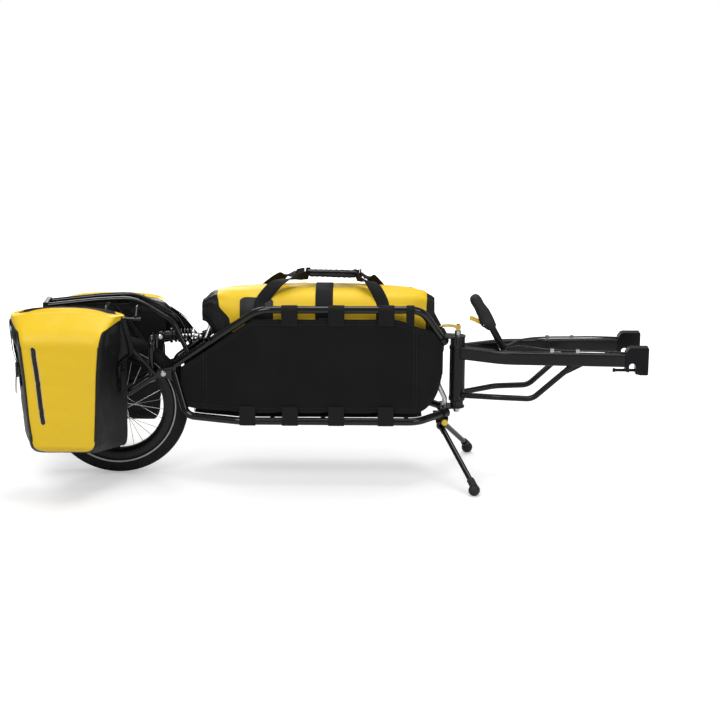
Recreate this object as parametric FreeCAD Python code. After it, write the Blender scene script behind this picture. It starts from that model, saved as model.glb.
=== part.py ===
import FreeCAD, Part
import math
import os

V = FreeCAD.Vector

# Layout. X points forward, Y to the left, Z up from the ground. The origin lies on the
# ground, halfway between the hitch blocks' front and the rear edge of the right pannier.
half_length = 872.5
block_nose = 44.0
hitch_x = half_length - block_nose
hitch_z = 342.0
fork_reach = 475.0
steer_x = hitch_x - fork_reach
wheelbase = 953.0
wheel_x = steer_x - wheelbase
SIDES = (-1, 1)
RIGHT = -1
LEFT = 1

# Clearances
run_gap = 0.05
weld_gap = 0.12
seat_gap = 0.3

# Wheel
tyre_r = 199.0
tyre_width = 44.0
tyre_wall = 3.5
bead_r = 155.0
rim_inner_r = 129.0
rim_width = 30.0
rim_wall = 2.4
wheel_z = tyre_r
spoke_count = 28
spoke_r = 0.95
hub_flange_r = 23.0
hub_flange_y = 30.0
hub_barrel_r = 12.5
hub_width = 100.0
axle_r = 4.9
bearing_r = 11.0
bearing_width = 8.0
skewer_r = 2.4
wheel_lever_length = 33.0
cam_slot_half = 4.2
dropout_plate = 6.0

# Side hoops
hoop_r = 10.5
hoop_wall = 1.8
hoop_bend = 52.0
hoop_half = 120.0
nose_half = 37.0
nose_x = wheel_x + 159.5
nose_z = 319.0
rail_top_z = 502.0
rail_low_z = 187.0
rear_top_x = wheel_x + 405.5
rear_rail_x = wheel_x + 349.5
rear_low_x = wheel_x + 199.5
rear_low_half = 70.0
front_top_x = steer_x - 105.5
front_top_half = 112.0
front_low_x = steer_x - 113.5
lug_half = 26.0
lug_top_x = steer_x - 39.5
lug_top_z = 393.0
lug_low_x = steer_x - 31.5

# Steering head
plate_top_z = 401.0
plate_low_z = 198.0
plate_t = 4.0
head_r = 23.0
head_low_z = 216.0
head_top_z = 375.0
head_bore_r = 12.0
bush_r = 17.0
bush_depth = 12.0
head_axle_r = 5.5
cam_z = 427.0
cam_r = 8.0
lever_length = 52.0

# Fork
arm_height = 36.0
arm_width = 24.0
arm_wall = 2.2
arm_z = 357.0
arm_corner = 6.0
arm_bend_x = steer_x + 125.0
arm_bend_half = 67.0
block_half = 85.0
block_width = 30.0
block_rear = 19.0
block_low_z = 318.0
block_top_z = 395.0
slot_r = 9.0
lock_pin_r = 4.0
lock_travel = 20.0
lower_r = 8.0
lower_wall = 1.6
lower_root_z = 234.0
lower_z = 241.0
lower_bend_x = steer_x + 205.0
lower_bend_half = 72.0
lower_top_x = steer_x + 318.0
bridge_x = steer_x + 131.0
stem_r = 9.8
cable_r = 2.5
trigger_width = 11.0
trigger_pin_r = 2.0

# Suspension
pivot_x = nose_x - 24.0
pivot_z = 303.0
swing_r = 11.0
swing_wall = 2.0
swing_half = 38.0
eye_r = 12.0
eye_width = 16.0
ear_t = 3.2
pivot_bolt_r = 5.0
shock_z = pivot_z + 95.0
shock_rear_x = pivot_x - 10.0
shock_length = 113.0
shock_front_x = shock_rear_x + shock_length
shock_bolt_r = 4.0
open_pivot_gap = 0.8
damper_r = 12.0
shaft_r = 5.0
spring_mean_r = 17.0
spring_wire_r = 2.25
spring_turns = 5.5
spring_length = 56.0
arch_x = pivot_x - 33.0
arch_z = pivot_z + 92.0
arch_r = 8.0

# Rack
rack_r = 7.0
rack_half = 28.0
rack_top_z = 506.0
rack_end_x = wheel_x - 180.0
rack_end_z = 489.0
rail_r = 5.0
rail_half = 103.0
rail_z = 470.0
rail_front_x = wheel_x + 84.0
rail_rear_x = wheel_x - 205.0

# Luggage
pannier_back_half = 111.0
pannier_depth = 170.0
pannier_top_z = 527.0
pannier_low_z = 147.0
pannier_x = wheel_x - 112.7
pannier_left_shift = 90.0
pannier_left_drop = 24.0
duffel_rear_x = nose_x + 95.0
duffel_front_x = steer_x - 66.5
duffel_top_z = 548.0
duffel_low_z = 198.0
duffel_half = 104.0
duffel_corner = 64.0
grip_z = 572.0
grip_rear_x = duffel_rear_x + 294.0
grip_front_x = duffel_front_x - 200.0
handle_rear_x = duffel_rear_x + 142.0
handle_front_x = duffel_front_x - 111.0
strap_mid_x = duffel_rear_x + 337.0
belt_width = 40.0
strap_width = 26.0
strap_t = 1.8

# Sling
cloth_t = 2.6
cloth_top_z = 470.0
cloth_low_z = 209.0
band_t = 1.6
band_width = 44.0

# Kickstand
stand_x = steer_x - 45.0
stand_z = 150.0
stand_half = 34.0
stand_lug_half = 20.0
index_pin_r = 3.0
leg_r = 7.5
foot_r = 16.0
foot_x = steer_x + 43.0
foot_half = 193.0
stand_pin_r = 4.0
knob_r = 8.5


def put(shapes, name):
    """Write one node from one solid or a list of separate solids."""
    if isinstance(shapes, (list, tuple)):
        shape = Part.makeCompound(list(shapes))
    else:
        shape = shapes
    shape.exportStep("parts/" + name + ".step")


def cylinder(start, end, radius):
    """Round bar between two points."""
    axis = end - start
    return Part.makeCylinder(radius, axis.Length, start, axis)


def box(low, high):
    """Box between two corners."""
    size = high - low
    return Part.makeBox(size.x, size.y, size.z, low)


def bent_wire(points, bends):
    """Straight runs through the points, with a tangent arc at each inner point."""
    if not isinstance(bends, (list, tuple)):
        bends = [bends] * (len(points) - 2)
    edges = []
    start = points[0]
    for i in range(1, len(points) - 1):
        corner = points[i]
        back = (points[i - 1] - corner).normalize()
        ahead = (points[i + 1] - corner).normalize()
        turn = math.pi - back.getAngle(ahead)
        setback = bends[i - 1] * math.tan(turn / 2)
        enter = corner + back * setback
        leave = corner + ahead * setback
        bisector = (back + ahead).normalize()
        reach = bends[i - 1] * (1 / math.cos(turn / 2) - 1)
        if (enter - start).Length > 1e-4:
            edges.append(Part.LineSegment(start, enter).toShape())
        edges.append(Part.Arc(enter, corner + bisector * reach, leave).toShape())
        start = leave
    edges.append(Part.LineSegment(start, points[-1]).toShape())
    return Part.Wire(edges)


def ring_face(centre, direction, outer, inner):
    """Flat ring, or a disc where the inner radius is zero."""
    rim = Part.Wire([Part.Circle(centre, direction, outer).toShape()])
    if inner <= 0:
        return Part.Face(rim)
    hole = Part.Wire([Part.Circle(centre, direction, inner).toShape()])
    return Part.Face([rim, hole])


def tube(points, radius, bends, wall=0.0):
    """Bent round tube, solid where no wall is given."""
    direction = points[1] - points[0]
    if len(points) == 2:
        inner = radius - wall if wall > 0 else 0
        return ring_face(points[0], direction, radius, inner).extrude(direction)
    path = bent_wire(points, bends)
    solid = path.makePipe(ring_face(points[0], direction, radius, 0))
    if wall > 0:
        solid = solid.cut(path.makePipe(ring_face(points[0], direction, radius - wall, 0)))
    return solid


def rounded_rect(centre, across, up, width, height, corner):
    """Closed rounded rectangle in the plane of two unit directions."""
    w = width / 2
    h = height / 2
    c = min(corner, w - 0.01, h - 0.01)
    k = c * (1 - math.sqrt(0.5))

    def at(a, b):
        return centre + across * a + up * b
    edges = []
    corners = ((1, 1), (-1, 1), (-1, -1), (1, -1))
    for i, (sa, sb) in enumerate(corners):
        nxt = corners[(i + 1) % 4]
        if i % 2 == 0:
            first = at(sa * w, sb * (h - c))
            last = at(sa * (w - c), sb * h)
        else:
            first = at(sa * (w - c), sb * h)
            last = at(sa * w, sb * (h - c))
        edges.append(Part.Arc(first, at(sa * (w - k), sb * (h - k)), last).toShape())
        if i % 2 == 0:
            following = at(nxt[0] * (w - c), nxt[1] * h)
        else:
            following = at(nxt[0] * w, nxt[1] * (h - c))
        edges.append(Part.LineSegment(last, following).toShape())
    return Part.Wire(edges)


def revolve(profile, centre, axis):
    """Solid of revolution of a closed polygon of points."""
    face = Part.Face(Part.makePolygon(list(profile) + [profile[0]]))
    return face.revolve(centre, axis, 360)


def turned(stations, centre, axis_name):
    """Solid turned about X, Y or Z from (position, radius) stations."""
    lines = [(stations[0][0], 0.0)] + list(stations) + [(stations[-1][0], 0.0)]
    if axis_name == "X":
        points = [centre + V(p, 0, r) for p, r in lines]
        axis = V(1, 0, 0)
    elif axis_name == "Y":
        points = [centre + V(r, p, 0) for p, r in lines]
        axis = V(0, 1, 0)
    else:
        points = [centre + V(r, 0, p) for p, r in lines]
        axis = V(0, 0, 1)
    return revolve(points, centre, axis)


def plate(points, thickness_vector):
    """Flat plate from its outline."""
    return Part.Face(Part.makePolygon(list(points) + [points[0]])).extrude(thickness_vector)


def mirrored(point, side):
    """Point of the left half brought to the given side."""
    return V(point.x, point.y * side, point.z)


# Frame

def hoop_points(side):
    """Centre line of one side hoop, from its upper front end round to the lower one."""
    half = [
        V(lug_top_x, lug_half, lug_top_z),
        V(front_top_x, front_top_half, rail_top_z),
        V(rear_top_x, hoop_half, rail_top_z),
        V(nose_x, nose_half, nose_z),
        V(rear_low_x, rear_low_half, rail_low_z),
        V(rear_rail_x, hoop_half, rail_low_z),
        V(front_low_x, hoop_half, rail_low_z),
        V(lug_low_x, lug_half, rail_low_z),
    ]
    return [mirrored(p, side) for p in half]


hoop_bends = [hoop_bend, 90.0, 24.0, 34.0, 60.0, 60.0]


def hoop_envelope(side, gap):
    """The hoop's outside, grown by a gap, used to cope what meets it."""
    return tube(hoop_points(side), hoop_r + gap, hoop_bends)


def nose_lugs(side):
    """Clevis plates on the back of the hoop's nose, carrying the swingarm's eye."""
    plates = []
    gap = eye_width / 2 + run_gap
    y_mid = side * swing_half
    for face in (y_mid - gap - ear_t, y_mid + gap):
        outline = [
            V(nose_x + 2, face, nose_z + 2),
            V(pivot_x + 2, face, pivot_z + eye_r),
            V(pivot_x + 2, face, pivot_z - eye_r),
            V(nose_x + 8, face, pivot_z - 26),
        ]
        ear = plate(outline, V(0, ear_t, 0))
        ear = ear.fuse(cylinder(V(pivot_x, face, pivot_z), V(pivot_x, face + ear_t, pivot_z), eye_r))
        plates.append(ear)
    return plates


def stay_tab(side):
    """Small tab outside the nose, where the rack's stay is bolted."""
    y = side * (swing_half + eye_width / 2 + run_gap + ear_t)
    outer = y + side * ear_t
    low = min(y, outer)
    outline = [
        V(pivot_x - 26, low, pivot_z + 4),
        V(pivot_x - 26, low, pivot_z - 10),
        V(pivot_x + 14, low, pivot_z - 8),
        V(pivot_x + 26, low, pivot_z + 10),
    ]
    return plate(outline, V(0, ear_t, 0))


def make_hoop(side):
    hoop = tube(hoop_points(side), hoop_r, hoop_bends, hoop_wall)
    bolt_hole = cylinder(V(pivot_x, side * (swing_half - 30), pivot_z),
                         V(pivot_x, side * (swing_half + 30), pivot_z), pivot_bolt_r + run_gap)
    keep = hoop_envelope(side, -hoop_wall / 2)
    for ear in nose_lugs(side) + [stay_tab(side)]:
        hoop = hoop.fuse(ear.cut(keep))
    return hoop.cut(bolt_hole)


def cross_tube(x, half, z, radius):
    """Straight tube across the frame, coped to both hoops."""
    bar = tube([V(x, 0, z), V(x, half + 6, z)], radius, 0, 1.5)
    if z == rail_low_z:
        bar = bar.cut(cylinder(V(x - 40, half, z), V(x + 40, half, z), hoop_r + weld_gap))
    else:
        bar = bar.cut(hoop_envelope(LEFT, weld_gap))
    bar = min(bar.Solids, key=lambda s: s.BoundBox.YMin)
    return bar.fuse(bar.mirror(V(0, 0, 0), V(0, 1, 0)))


def make_cross_tubes():
    """Floor cross tubes and the upper rear tube that carries the shock."""
    tubes = [cross_tube(x, hoop_half, rail_low_z, 7.0) for x in (rear_rail_x + 90, -20.0, front_low_x - 30)]
    shock_tube = cross_tube(shock_front_x + 22, hoop_half - 30, shock_z + 12, 8.0)
    for y in (-11.0, 7.5):
        outline = [
            V(shock_front_x - 9, y, shock_z + 4),
            V(shock_front_x - 9, y, shock_z - 8),
            V(shock_front_x + 8, y, shock_z - 9),
            V(shock_front_x + 24, y, shock_z + 6),
            V(shock_front_x + 20, y, shock_z + 18),
            V(shock_front_x + 4, y, shock_z + 12),
        ]
        shock_tube = shock_tube.fuse(plate(outline, V(0, 3.5, 0)).cut(
            cylinder(V(shock_front_x + 22, -40, shock_z + 12), V(shock_front_x + 22, 40, shock_z + 12), 7.0)))
    hole = cylinder(V(shock_front_x, -40, shock_z), V(shock_front_x, 40, shock_z), shock_bolt_r + run_gap)
    return tubes + [shock_tube.cut(hole)]


def lug_plate(z, rear_x, rear_half):
    """Steering plate with a round front about the steering axis."""
    front_r = 22.0
    face_points = [V(rear_x, -rear_half, z), V(rear_x, rear_half, z),
                   V(steer_x - 4, front_r - 0.5, z), V(steer_x - 4, -front_r + 0.5, z)]
    body = plate(face_points, V(0, 0, plate_t))
    return body.fuse(Part.makeCylinder(front_r, plate_t, V(steer_x, 0, z)))


def end_socket(side, upper):
    """Short sleeve round one hoop end."""
    points = hoop_points(side)
    end = points[0] if upper else points[-1]
    nxt = points[1] if upper else points[-2]
    back = (nxt - end).normalize()
    return cylinder(end - back * 3.0, end + back * 20.0, hoop_r + 3.2)


def make_lug(upper):
    if upper:
        body = lug_plate(plate_top_z - plate_t / 2, lug_top_x - 8, lug_half + 4)
    else:
        body = lug_plate(plate_low_z - plate_t / 2, lug_low_x - 14, lug_half + 6)
    for side in SIDES:
        body = body.fuse(end_socket(side, upper))
    for side in SIDES:
        body = body.cut(tube(hoop_points(side), hoop_r + run_gap, hoop_bends))
    z = plate_top_z if upper else plate_low_z
    body = body.cut(Part.makeCylinder(head_axle_r + run_gap, 60, V(steer_x, 0, z - 30)))
    if upper:
        clear = Part.makeCylinder(head_r + 4, 40, V(steer_x, 0, z - plate_t / 2 - 40))
    else:
        clear = Part.makeCylinder(head_r + 4, 40, V(steer_x, 0, z + plate_t / 2))
    return body.cut(clear)


def make_upright():
    """Bowed brace that ties the two steering plates together behind the head."""
    points = [
        V(steer_x - 34, 0, plate_low_z + plate_t / 2 + weld_gap),
        V(steer_x - 34, 0, plate_low_z + 24),
        V(steer_x - 53, 0, plate_low_z + 64),
        V(steer_x - 53, 0, plate_top_z - 70),
        V(steer_x - 44, 0, plate_top_z - 36),
        V(steer_x - 44, 0, plate_top_z - plate_t / 2 - weld_gap),
    ]
    return tube(points, 7.0, [22.0, 40.0, 60.0, 40.0], 1.5)


# Sling

def plan_half(x, top):
    """Half width of the sling at a station, along the upper or lower rail."""
    points = hoop_points(LEFT)
    if top:
        line = [points[3], points[2], points[1], points[0]]
    else:
        line = [points[3], points[4], points[5], points[6], points[7]]
    for a, b in zip(line, line[1:]):
        if a.x <= x <= b.x:
            t = (x - a.x) / (b.x - a.x)
            return a.y + t * (b.y - a.y)
    return line[-1].y if x > line[-1].x else line[0].y


def cloth_edge(x, top):
    """Height of the cloth's edge at a station."""
    rise = (rail_top_z - nose_z) / (rear_top_x - nose_x)
    if top:
        rear = nose_z - 16 + (x - nose_x) * rise
        fall = (rail_top_z - lug_top_z) / (lug_top_x - front_top_x)
        front = cloth_top_z + 6 - (x - front_top_x) * fall * 0.8
        return min(cloth_top_z, rear, front)
    drop = (nose_z - rail_low_z) / (rear_low_x - nose_x)
    rear = nose_z - (x - nose_x) * drop
    front = cloth_low_z + max(0.0, x - front_low_x) * 0.45
    return max(cloth_low_z, rear, front)


cloth_stations = [nose_x + 20, nose_x + 45, rear_low_x + 22, rear_rail_x, rear_top_x + 10, rear_top_x + 114,
                  front_top_x - 188,
                  front_low_x - 30, front_low_x + 14, lug_top_x - 40, lug_top_x - 20]


def strip_solid(rows):
    """Closed thin solid from rows of corner points, joined row by row."""
    faces = []
    count = len(rows[0])
    for first, second in zip(rows, rows[1:]):
        for i in range(count):
            j = (i + 1) % count
            faces.append(Part.Face(Part.makePolygon([first[i], first[j], second[j], first[i]])))
            faces.append(Part.Face(Part.makePolygon([first[i], second[j], second[i], first[i]])))
    for row in (rows[0], rows[-1]):
        faces.append(Part.Face(Part.makePolygon(row + [row[0]])))
    shape = Part.Solid(Part.Shell(faces))
    if shape.Volume < 0:
        shape.reverse()
    return shape


def make_cloth_side(side):
    """Side panel of the sling in the plane of the hoop, turned in at its foot."""
    rows = []
    for x in cloth_stations:
        top_z = cloth_edge(x, True)
        low_z = cloth_edge(x, False)
        top_y = plan_half(x, True) - 1.0
        low_y = plan_half(x, False) - 1.0
        inside = floor_rear_x <= x <= floor_front_x
        foot_y = floor_half(x) + seat_gap if inside else low_y - cloth_t - 1.0
        foot_z = floor_z if inside else low_z - 1.0
        rows.append([
            V(x, side * top_y, top_z),
            V(x, side * (top_y - cloth_t), top_z),
            V(x, side * (low_y - cloth_t), low_z + cloth_t),
            V(x, side * foot_y, foot_z),
            V(x, side * foot_y, foot_z - cloth_t),
            V(x, side * low_y, low_z),
        ])
    panel = strip_solid(rows).cut(hoop_envelope(side, seat_gap))
    return max(panel.Solids, key=lambda s: s.Volume)


floor_rear_x = rear_low_x + 22
floor_front_x = front_low_x + 14
floor_z = rail_low_z + 7.0 + seat_gap + cloth_t


def floor_half(x):
    """Half width of the sling's floor, inside the bands."""
    return plan_half(x, False) - hoop_r - 0.35 - band_t - 1.2


def make_cloth_floor():
    """Floor of the sling, turned up at its rear end."""
    rows = []
    for x in cloth_stations:
        if floor_rear_x <= x <= floor_front_x:
            half = floor_half(x)
            rows.append([V(x, -half, floor_z), V(x, half, floor_z), V(x, half, floor_z - cloth_t),
                         V(x, -half, floor_z - cloth_t)])
    floor = strip_solid(rows)
    half = floor_half(floor_rear_x)
    top_half = plan_half(floor_rear_x, True) - 1.0 - cloth_t - seat_gap - 1.0
    wall = plate([V(floor_rear_x, -half, floor_z - cloth_t), V(floor_rear_x, half, floor_z - cloth_t),
                  V(floor_rear_x, top_half, floor_z + 120), V(floor_rear_x, -top_half, floor_z + 120)],
                 V(cloth_t, 0, 0))
    return floor.fuse(wall)


def band_loop(side, x, top):
    """Webbing band that wraps a rail and hangs on the cloth's edge."""
    y = side * plan_half(x, top)
    rail = rail_top_z if top else rail_low_z
    inner = hoop_r + (0.8 if top else 0.35)
    outer = inner + band_t
    reach = (rail - cloth_top_z - 4.0) if top else (cloth_low_z + 16.0 - rail)
    direction = -1 if top else 1
    ring = ring_face(V(x - band_width / 2, y, rail), V(1, 0, 0), outer, inner).extrude(V(band_width, 0, 0))
    half_cut_low = V(x - band_width, y - 30, rail if direction > 0 else rail - 30)
    half_cut = Part.makeBox(band_width * 2, 60, 30, half_cut_low)
    shape = ring.cut(half_cut)
    for face in (-1, 1):
        y_out = y + face * outer
        y_in = y + face * inner
        edge_y = y + face * (band_t + 0.2) - side * (1.0 + cloth_t / 2)
        tip = rail + direction * reach
        outline = [V(x - band_width / 2, y_out, rail),
                   V(x - band_width / 2, edge_y + face * cloth_t / 2 + face * 0.2, tip),
                   V(x - band_width / 2, edge_y + face * (cloth_t / 2 + 0.2) - face * band_t, tip),
                   V(x - band_width / 2, y_in, rail)]
        if not top and face != side:
            outline = [V(x - band_width / 2, y_out, rail),
                       V(x - band_width / 2, y_out, floor_z - cloth_t - seat_gap),
                       V(x - band_width / 2, y_in, floor_z - cloth_t - seat_gap),
                       V(x - band_width / 2, y_in, rail)]
        shape = shape.fuse(plate(outline, V(band_width, 0, 0)))
    start = V(x - band_width, y, rail)
    return shape.cut(cylinder(start, start + V(2 * band_width, 0, 0), inner - 0.05))


top_band_x = (rear_top_x + 90, front_top_x - 212, front_top_x - 70)
low_band_x = (rear_rail_x + 32, rear_rail_x + 154, front_low_x - 204, front_low_x - 68)


def make_bands():
    bands = []
    for side in SIDES:
        for x in top_band_x:
            bands.append(band_loop(side, x, True))
        for x in low_band_x:
            bands.append(band_loop(side, x, False))
    return bands


# Rack

def arch_points(side):
    """One arch tube, from the hoop up and back over the wheel."""
    foot_x_here = nose_x + 46
    return [
        V(foot_x_here, side * 52.0, nose_z + 34 + hoop_r + 1),
        V(nose_x + 4, side * 33.0, nose_z + 128),
        V(wheel_x + 60, side * rack_half, rack_top_z + 4),
        V(wheel_x - 40, side * rack_half, rack_top_z - 1),
        V(rack_end_x, side * rack_half, rack_end_z),
    ]


def make_arches():
    arches = []
    for side in SIDES:
        arch = tube(arch_points(side), rack_r, [60.0, 120.0, 200.0], 1.4)
        arches.append(arch.cut(hoop_envelope(side, weld_gap)))
    return arches


crossbar_x = (wheel_x + 70, wheel_x - 14, wheel_x - 124)


def crossbar_z(x):
    """Height of the arch tubes' centre over the rack."""
    slope = (rack_top_z - 1 - rack_end_z) / (wheel_x - 40 - rack_end_x)
    return rack_top_z - 1 - (wheel_x - 40 - x) * slope if x < wheel_x - 40 else rack_top_z


def make_crossbars():
    """Bars under the arches, drooping at both ends to carry the side rails."""
    bars = []
    for x in crossbar_x:
        z = crossbar_z(x) - rack_r - 4.0 - weld_gap
        points = [V(x, -rail_half, rail_z + rail_r + weld_gap), V(x, -rail_half + 26, z),
                  V(x, rail_half - 26, z), V(x, rail_half, rail_z + rail_r + weld_gap)]
        bar = tube(points, 4.0, 14.0)
        for side in SIDES:
            bar = bar.cut(cylinder(V(x - 20, side * rail_half, rail_z), V(x + 20, side * rail_half, rail_z),
                                   rail_r + weld_gap))
            bar = bar.cut(tube(arch_points(side), rack_r + weld_gap, [60.0, 120.0, 200.0]))
        bars.append(max(bar.Solids, key=lambda s: s.Volume))
    return bars


def make_side_rails():
    """Rod on each side: a rail for the pannier hooks and a stay down to the nose tab."""
    rods = []
    for side in SIDES:
        tab_y = side * (swing_half + eye_width / 2 + 2 * ear_t + rail_r + run_gap + 0.3)
        points = [
            V(rail_rear_x, side * rail_half, rail_z),
            V(wheel_x - 12, side * rail_half, rail_z),
            V(pivot_x - 20, tab_y, pivot_z - 2),
        ]
        stay = tube(points, rail_r, [30.0])
        front = tube([V(wheel_x - 40, side * rail_half, rail_z), V(rail_front_x, side * rail_half, rail_z)],
                     rail_r, 0)
        rods.append(stay.fuse(front))
    return rods


def make_end_block():
    """Cross plate at the rack's rear end."""
    low = V(rack_end_x - 14, -rack_half - 9, rack_end_z - 14)
    high = V(rack_end_x - weld_gap, rack_half + 9, rack_end_z + 10)
    block = box(low, high)
    edges = [e for e in block.Edges if abs(e.Vertexes[0].Point.x - low.x) < 0.01
             and abs(e.Vertexes[1].Point.x - low.x) < 0.01]
    block = block.makeFillet(4.0, edges)
    for side in SIDES:
        block = block.cut(tube(arch_points(side), rack_r + weld_gap, [60.0, 120.0, 200.0]))
    return block


# Luggage

def trapezoid(z, x_mid, back_y, front_y, back_w, front_w, corner):
    """Closed outline of a pannier's section, wider at its back."""
    out = 1 if front_y > back_y else -1
    corners = [V(x_mid - back_w / 2, back_y, z), V(x_mid + back_w / 2, back_y, z),
               V(x_mid + front_w / 2, front_y, z), V(x_mid - front_w / 2, front_y, z)]
    limit = abs(front_y - back_y) * 0.3
    radii = [min(8.0, limit), min(8.0, limit), min(corner, limit), min(corner, limit)]
    edges = []
    ends = []
    for i in range(4):
        before = (corners[i - 1] - corners[i]).normalize()
        after = (corners[(i + 1) % 4] - corners[i]).normalize()
        turn = math.pi - before.getAngle(after)
        setback = radii[i] * math.tan(turn / 2)
        mid = corners[i] + (before + after).normalize() * radii[i] * (1 / math.cos(turn / 2) - 1)
        ends.append((corners[i] + before * setback, mid, corners[i] + after * setback))
    for i in range(4):
        first, mid, last = ends[i]
        edges.append(Part.Arc(first, mid, last).toShape())
        edges.append(Part.LineSegment(last, ends[(i + 1) % 4][0]).toShape())
    return Part.Wire(edges)


def make_pannier(side, x_mid, drop):
    """Roll-top pannier: a tapered body, drawn in to a folded ridge at its top."""
    back = side * pannier_back_half
    sections = []
    body_h = pannier_top_z - pannier_low_z
    for share, depth, back_w, front_w, inset in (
            (0.0, 0.62, 236.0, 160.0, 0.10), (0.05, 0.93, 262.0, 176.0, 0.02), (0.30, 1.0, 280.0, 192.0, 0.0),
            (0.62, 1.0, 300.0, 206.0, 0.0), (0.84, 0.97, 318.0, 222.0, 0.0), (0.93, 0.80, 326.0, 240.0, 0.0),
            (0.97, 0.62, 320.0, 262.0, 0.05), (1.0, 0.48, 304.0, 280.0, 0.12)):
        z = pannier_low_z + body_h * share - drop
        near = back + side * pannier_depth * inset
        far = back + side * pannier_depth * depth
        sections.append(trapezoid(z, x_mid, near, far, back_w, front_w, 26.0))
    return Part.makeLoft(sections, True, True)


def make_pannier_hooks():
    """Back rails with two hooks each that sit on the side rails."""
    pieces = []
    for side, x_mid in ((RIGHT, pannier_x), (LEFT, pannier_x + pannier_left_shift)):
        wall = pannier_back_half - seat_gap
        for dx in (-62.0, 62.0):
            x = x_mid + dx
            inner = rail_r + 0.3
            hook = ring_face(V(x - 11, side * rail_half, rail_z), V(1, 0, 0), inner + 2.4,
                             inner).extrude(V(22, 0, 0))
            hook = hook.cut(Part.makeBox(40, 2 * rail_r + 6, 30,
                                         V(x - 20, side * rail_half - rail_r - 3, rail_z - 30)))
            back = wall - 2.6
            low = V(x - 11, min(side * back, side * wall), rail_z - 34)
            high = V(x + 11, max(side * back, side * wall), rail_z + 7)
            hook = hook.fuse(box(low, high))
            pieces.append(hook.cut(cylinder(V(x - 20, side * rail_half, rail_z),
                                            V(x + 20, side * rail_half, rail_z), inner)))
    return pieces


def duffel_section(x, half, low, top, corner):
    return rounded_rect(V(x, 0, (low + top) / 2), V(0, 1, 0), V(0, 0, 1), half * 2, top - low, corner)


duffel_stations = [
    (0.0, 0.36, 448.0, duffel_top_z - 30), (0.035, 0.50, 436.0, duffel_top_z - 18),
    (0.10, 0.66, 300.0, duffel_top_z - 10), (0.22, 0.93, duffel_low_z + 2, duffel_top_z - 3),
    (0.5, 1.0, duffel_low_z, duffel_top_z), (0.78, 0.97, duffel_low_z, duffel_top_z - 2),
    (0.90, 0.70, duffel_low_z + 6, duffel_top_z - 8), (0.97, 0.42, duffel_low_z + 34, duffel_top_z - 18),
    (1.0, 0.26, 300.0, duffel_top_z - 40)]


def bag_half(x):
    """Half width of the bag at a station along its length."""
    share = (x - duffel_rear_x) / (duffel_front_x - duffel_rear_x)
    for a, b in zip(duffel_stations, duffel_stations[1:]):
        if a[0] <= share <= b[0]:
            return duffel_half * (a[1] + (b[1] - a[1]) * (share - a[0]) / (b[0] - a[0]))
    return duffel_half


def make_duffel(grow=0.0):
    """Dry bag: a long rounded body with folded, drawn-in ends."""
    length = duffel_front_x - duffel_rear_x
    sections = []
    for share, width, low, top in duffel_stations:
        half = duffel_half * width + grow
        sections.append(duffel_section(duffel_rear_x + length * share, half, low - grow, top + grow,
                                       min(duffel_corner, half * 0.8)))
    return Part.makeLoft(sections, True, True)


def ribbon(stations, width, thick):
    """Webbing strip through stations of a centre, its direction across and its outward direction."""
    rows = []
    for centre, across, outward in stations:
        a = across.normalize() * (width / 2)
        t = outward.normalize() * thick
        rows.append([centre - a, centre + a, centre + a + t, centre - a + t])
    return strip_solid(rows)


def handle_leg(side, foot_x_here, grip_x):
    """One webbing leg, up the bag's flank, over its shoulder and on to the carrying grip."""
    half = bag_half(foot_x_here)
    corner_y = half - duffel_corner
    corner_z = duffel_top_z - 2.0 - duffel_corner
    reach = grip_x - foot_x_here
    stations = [(V(foot_x_here, side * (half + 0.2), corner_z - 60), V(1, 0, 0), V(0, side, 0)),
                (V(foot_x_here, side * (half + 0.2), corner_z), V(1, 0, 0), V(0, side, 0))]
    for step in range(1, 5):
        a = math.radians(15 * step)
        x = foot_x_here + reach * 0.02 * step
        out = V(0, side * math.cos(a), math.sin(a))
        centre = V(x, side * corner_y, corner_z) + out * (duffel_corner + 0.4)
        stations.append((centre, V(1, side * -0.05 * step, 0), out))
    stations.append((V(foot_x_here + reach * 0.45, side * 36, duffel_top_z + 12), V(1, side * -0.5, 0.2),
                     V(0, side * 0.3, 1)))
    stations.append((V(foot_x_here + reach * 0.8, side * 20, grip_z + 1), V(0.4, side * -1, 0), V(0, 0, 1)))
    stations.append((V(grip_x, side * 14, grip_z + 6), V(0, side * -1, 0), V(0, 0, 1)))
    return ribbon(stations, strap_width, strap_t)


def make_duffel_straps():
    """Centre strap round the bag and the four webbing legs of its carrying handle."""
    x = strap_mid_x - belt_width / 2
    layers = []
    for grow in (0.6 + strap_t, 0.6):
        outline = duffel_section(x, duffel_half + grow, duffel_low_z - grow, duffel_top_z + grow,
                                 duffel_corner + grow)
        layers.append(Part.Face(outline).extrude(V(belt_width, 0, 0)))
    belt = layers[0].cut(layers[1])
    belt = belt.common(box(V(x - 1, -300, cloth_low_z + 50), V(x + belt_width + 1, 300, 700)))
    bag = make_duffel(0.5)
    pieces = [belt]
    for side in SIDES:
        for foot, grip in ((handle_rear_x, grip_rear_x - seat_gap),
                           (handle_front_x, grip_front_x + seat_gap)):
            leg = handle_leg(side, foot, grip).cut(bag)
            pieces.append(max(leg.Solids, key=lambda s: s.Volume))
    return pieces


def make_duffel_grip():
    """Padded wrap that joins the handle's two loops."""
    sections = []
    for x, w, h in ((grip_rear_x, 42.0, 10.0), (grip_rear_x + 8, 52.0, 18.0), (grip_front_x - 8, 52.0, 18.0),
                    (grip_front_x, 42.0, 10.0)):
        sections.append(rounded_rect(V(x, 0, grip_z + 7), V(0, 1, 0), V(0, 0, 1), w, h, h * 0.45))
    return Part.makeLoft(sections, True, True)


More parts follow.
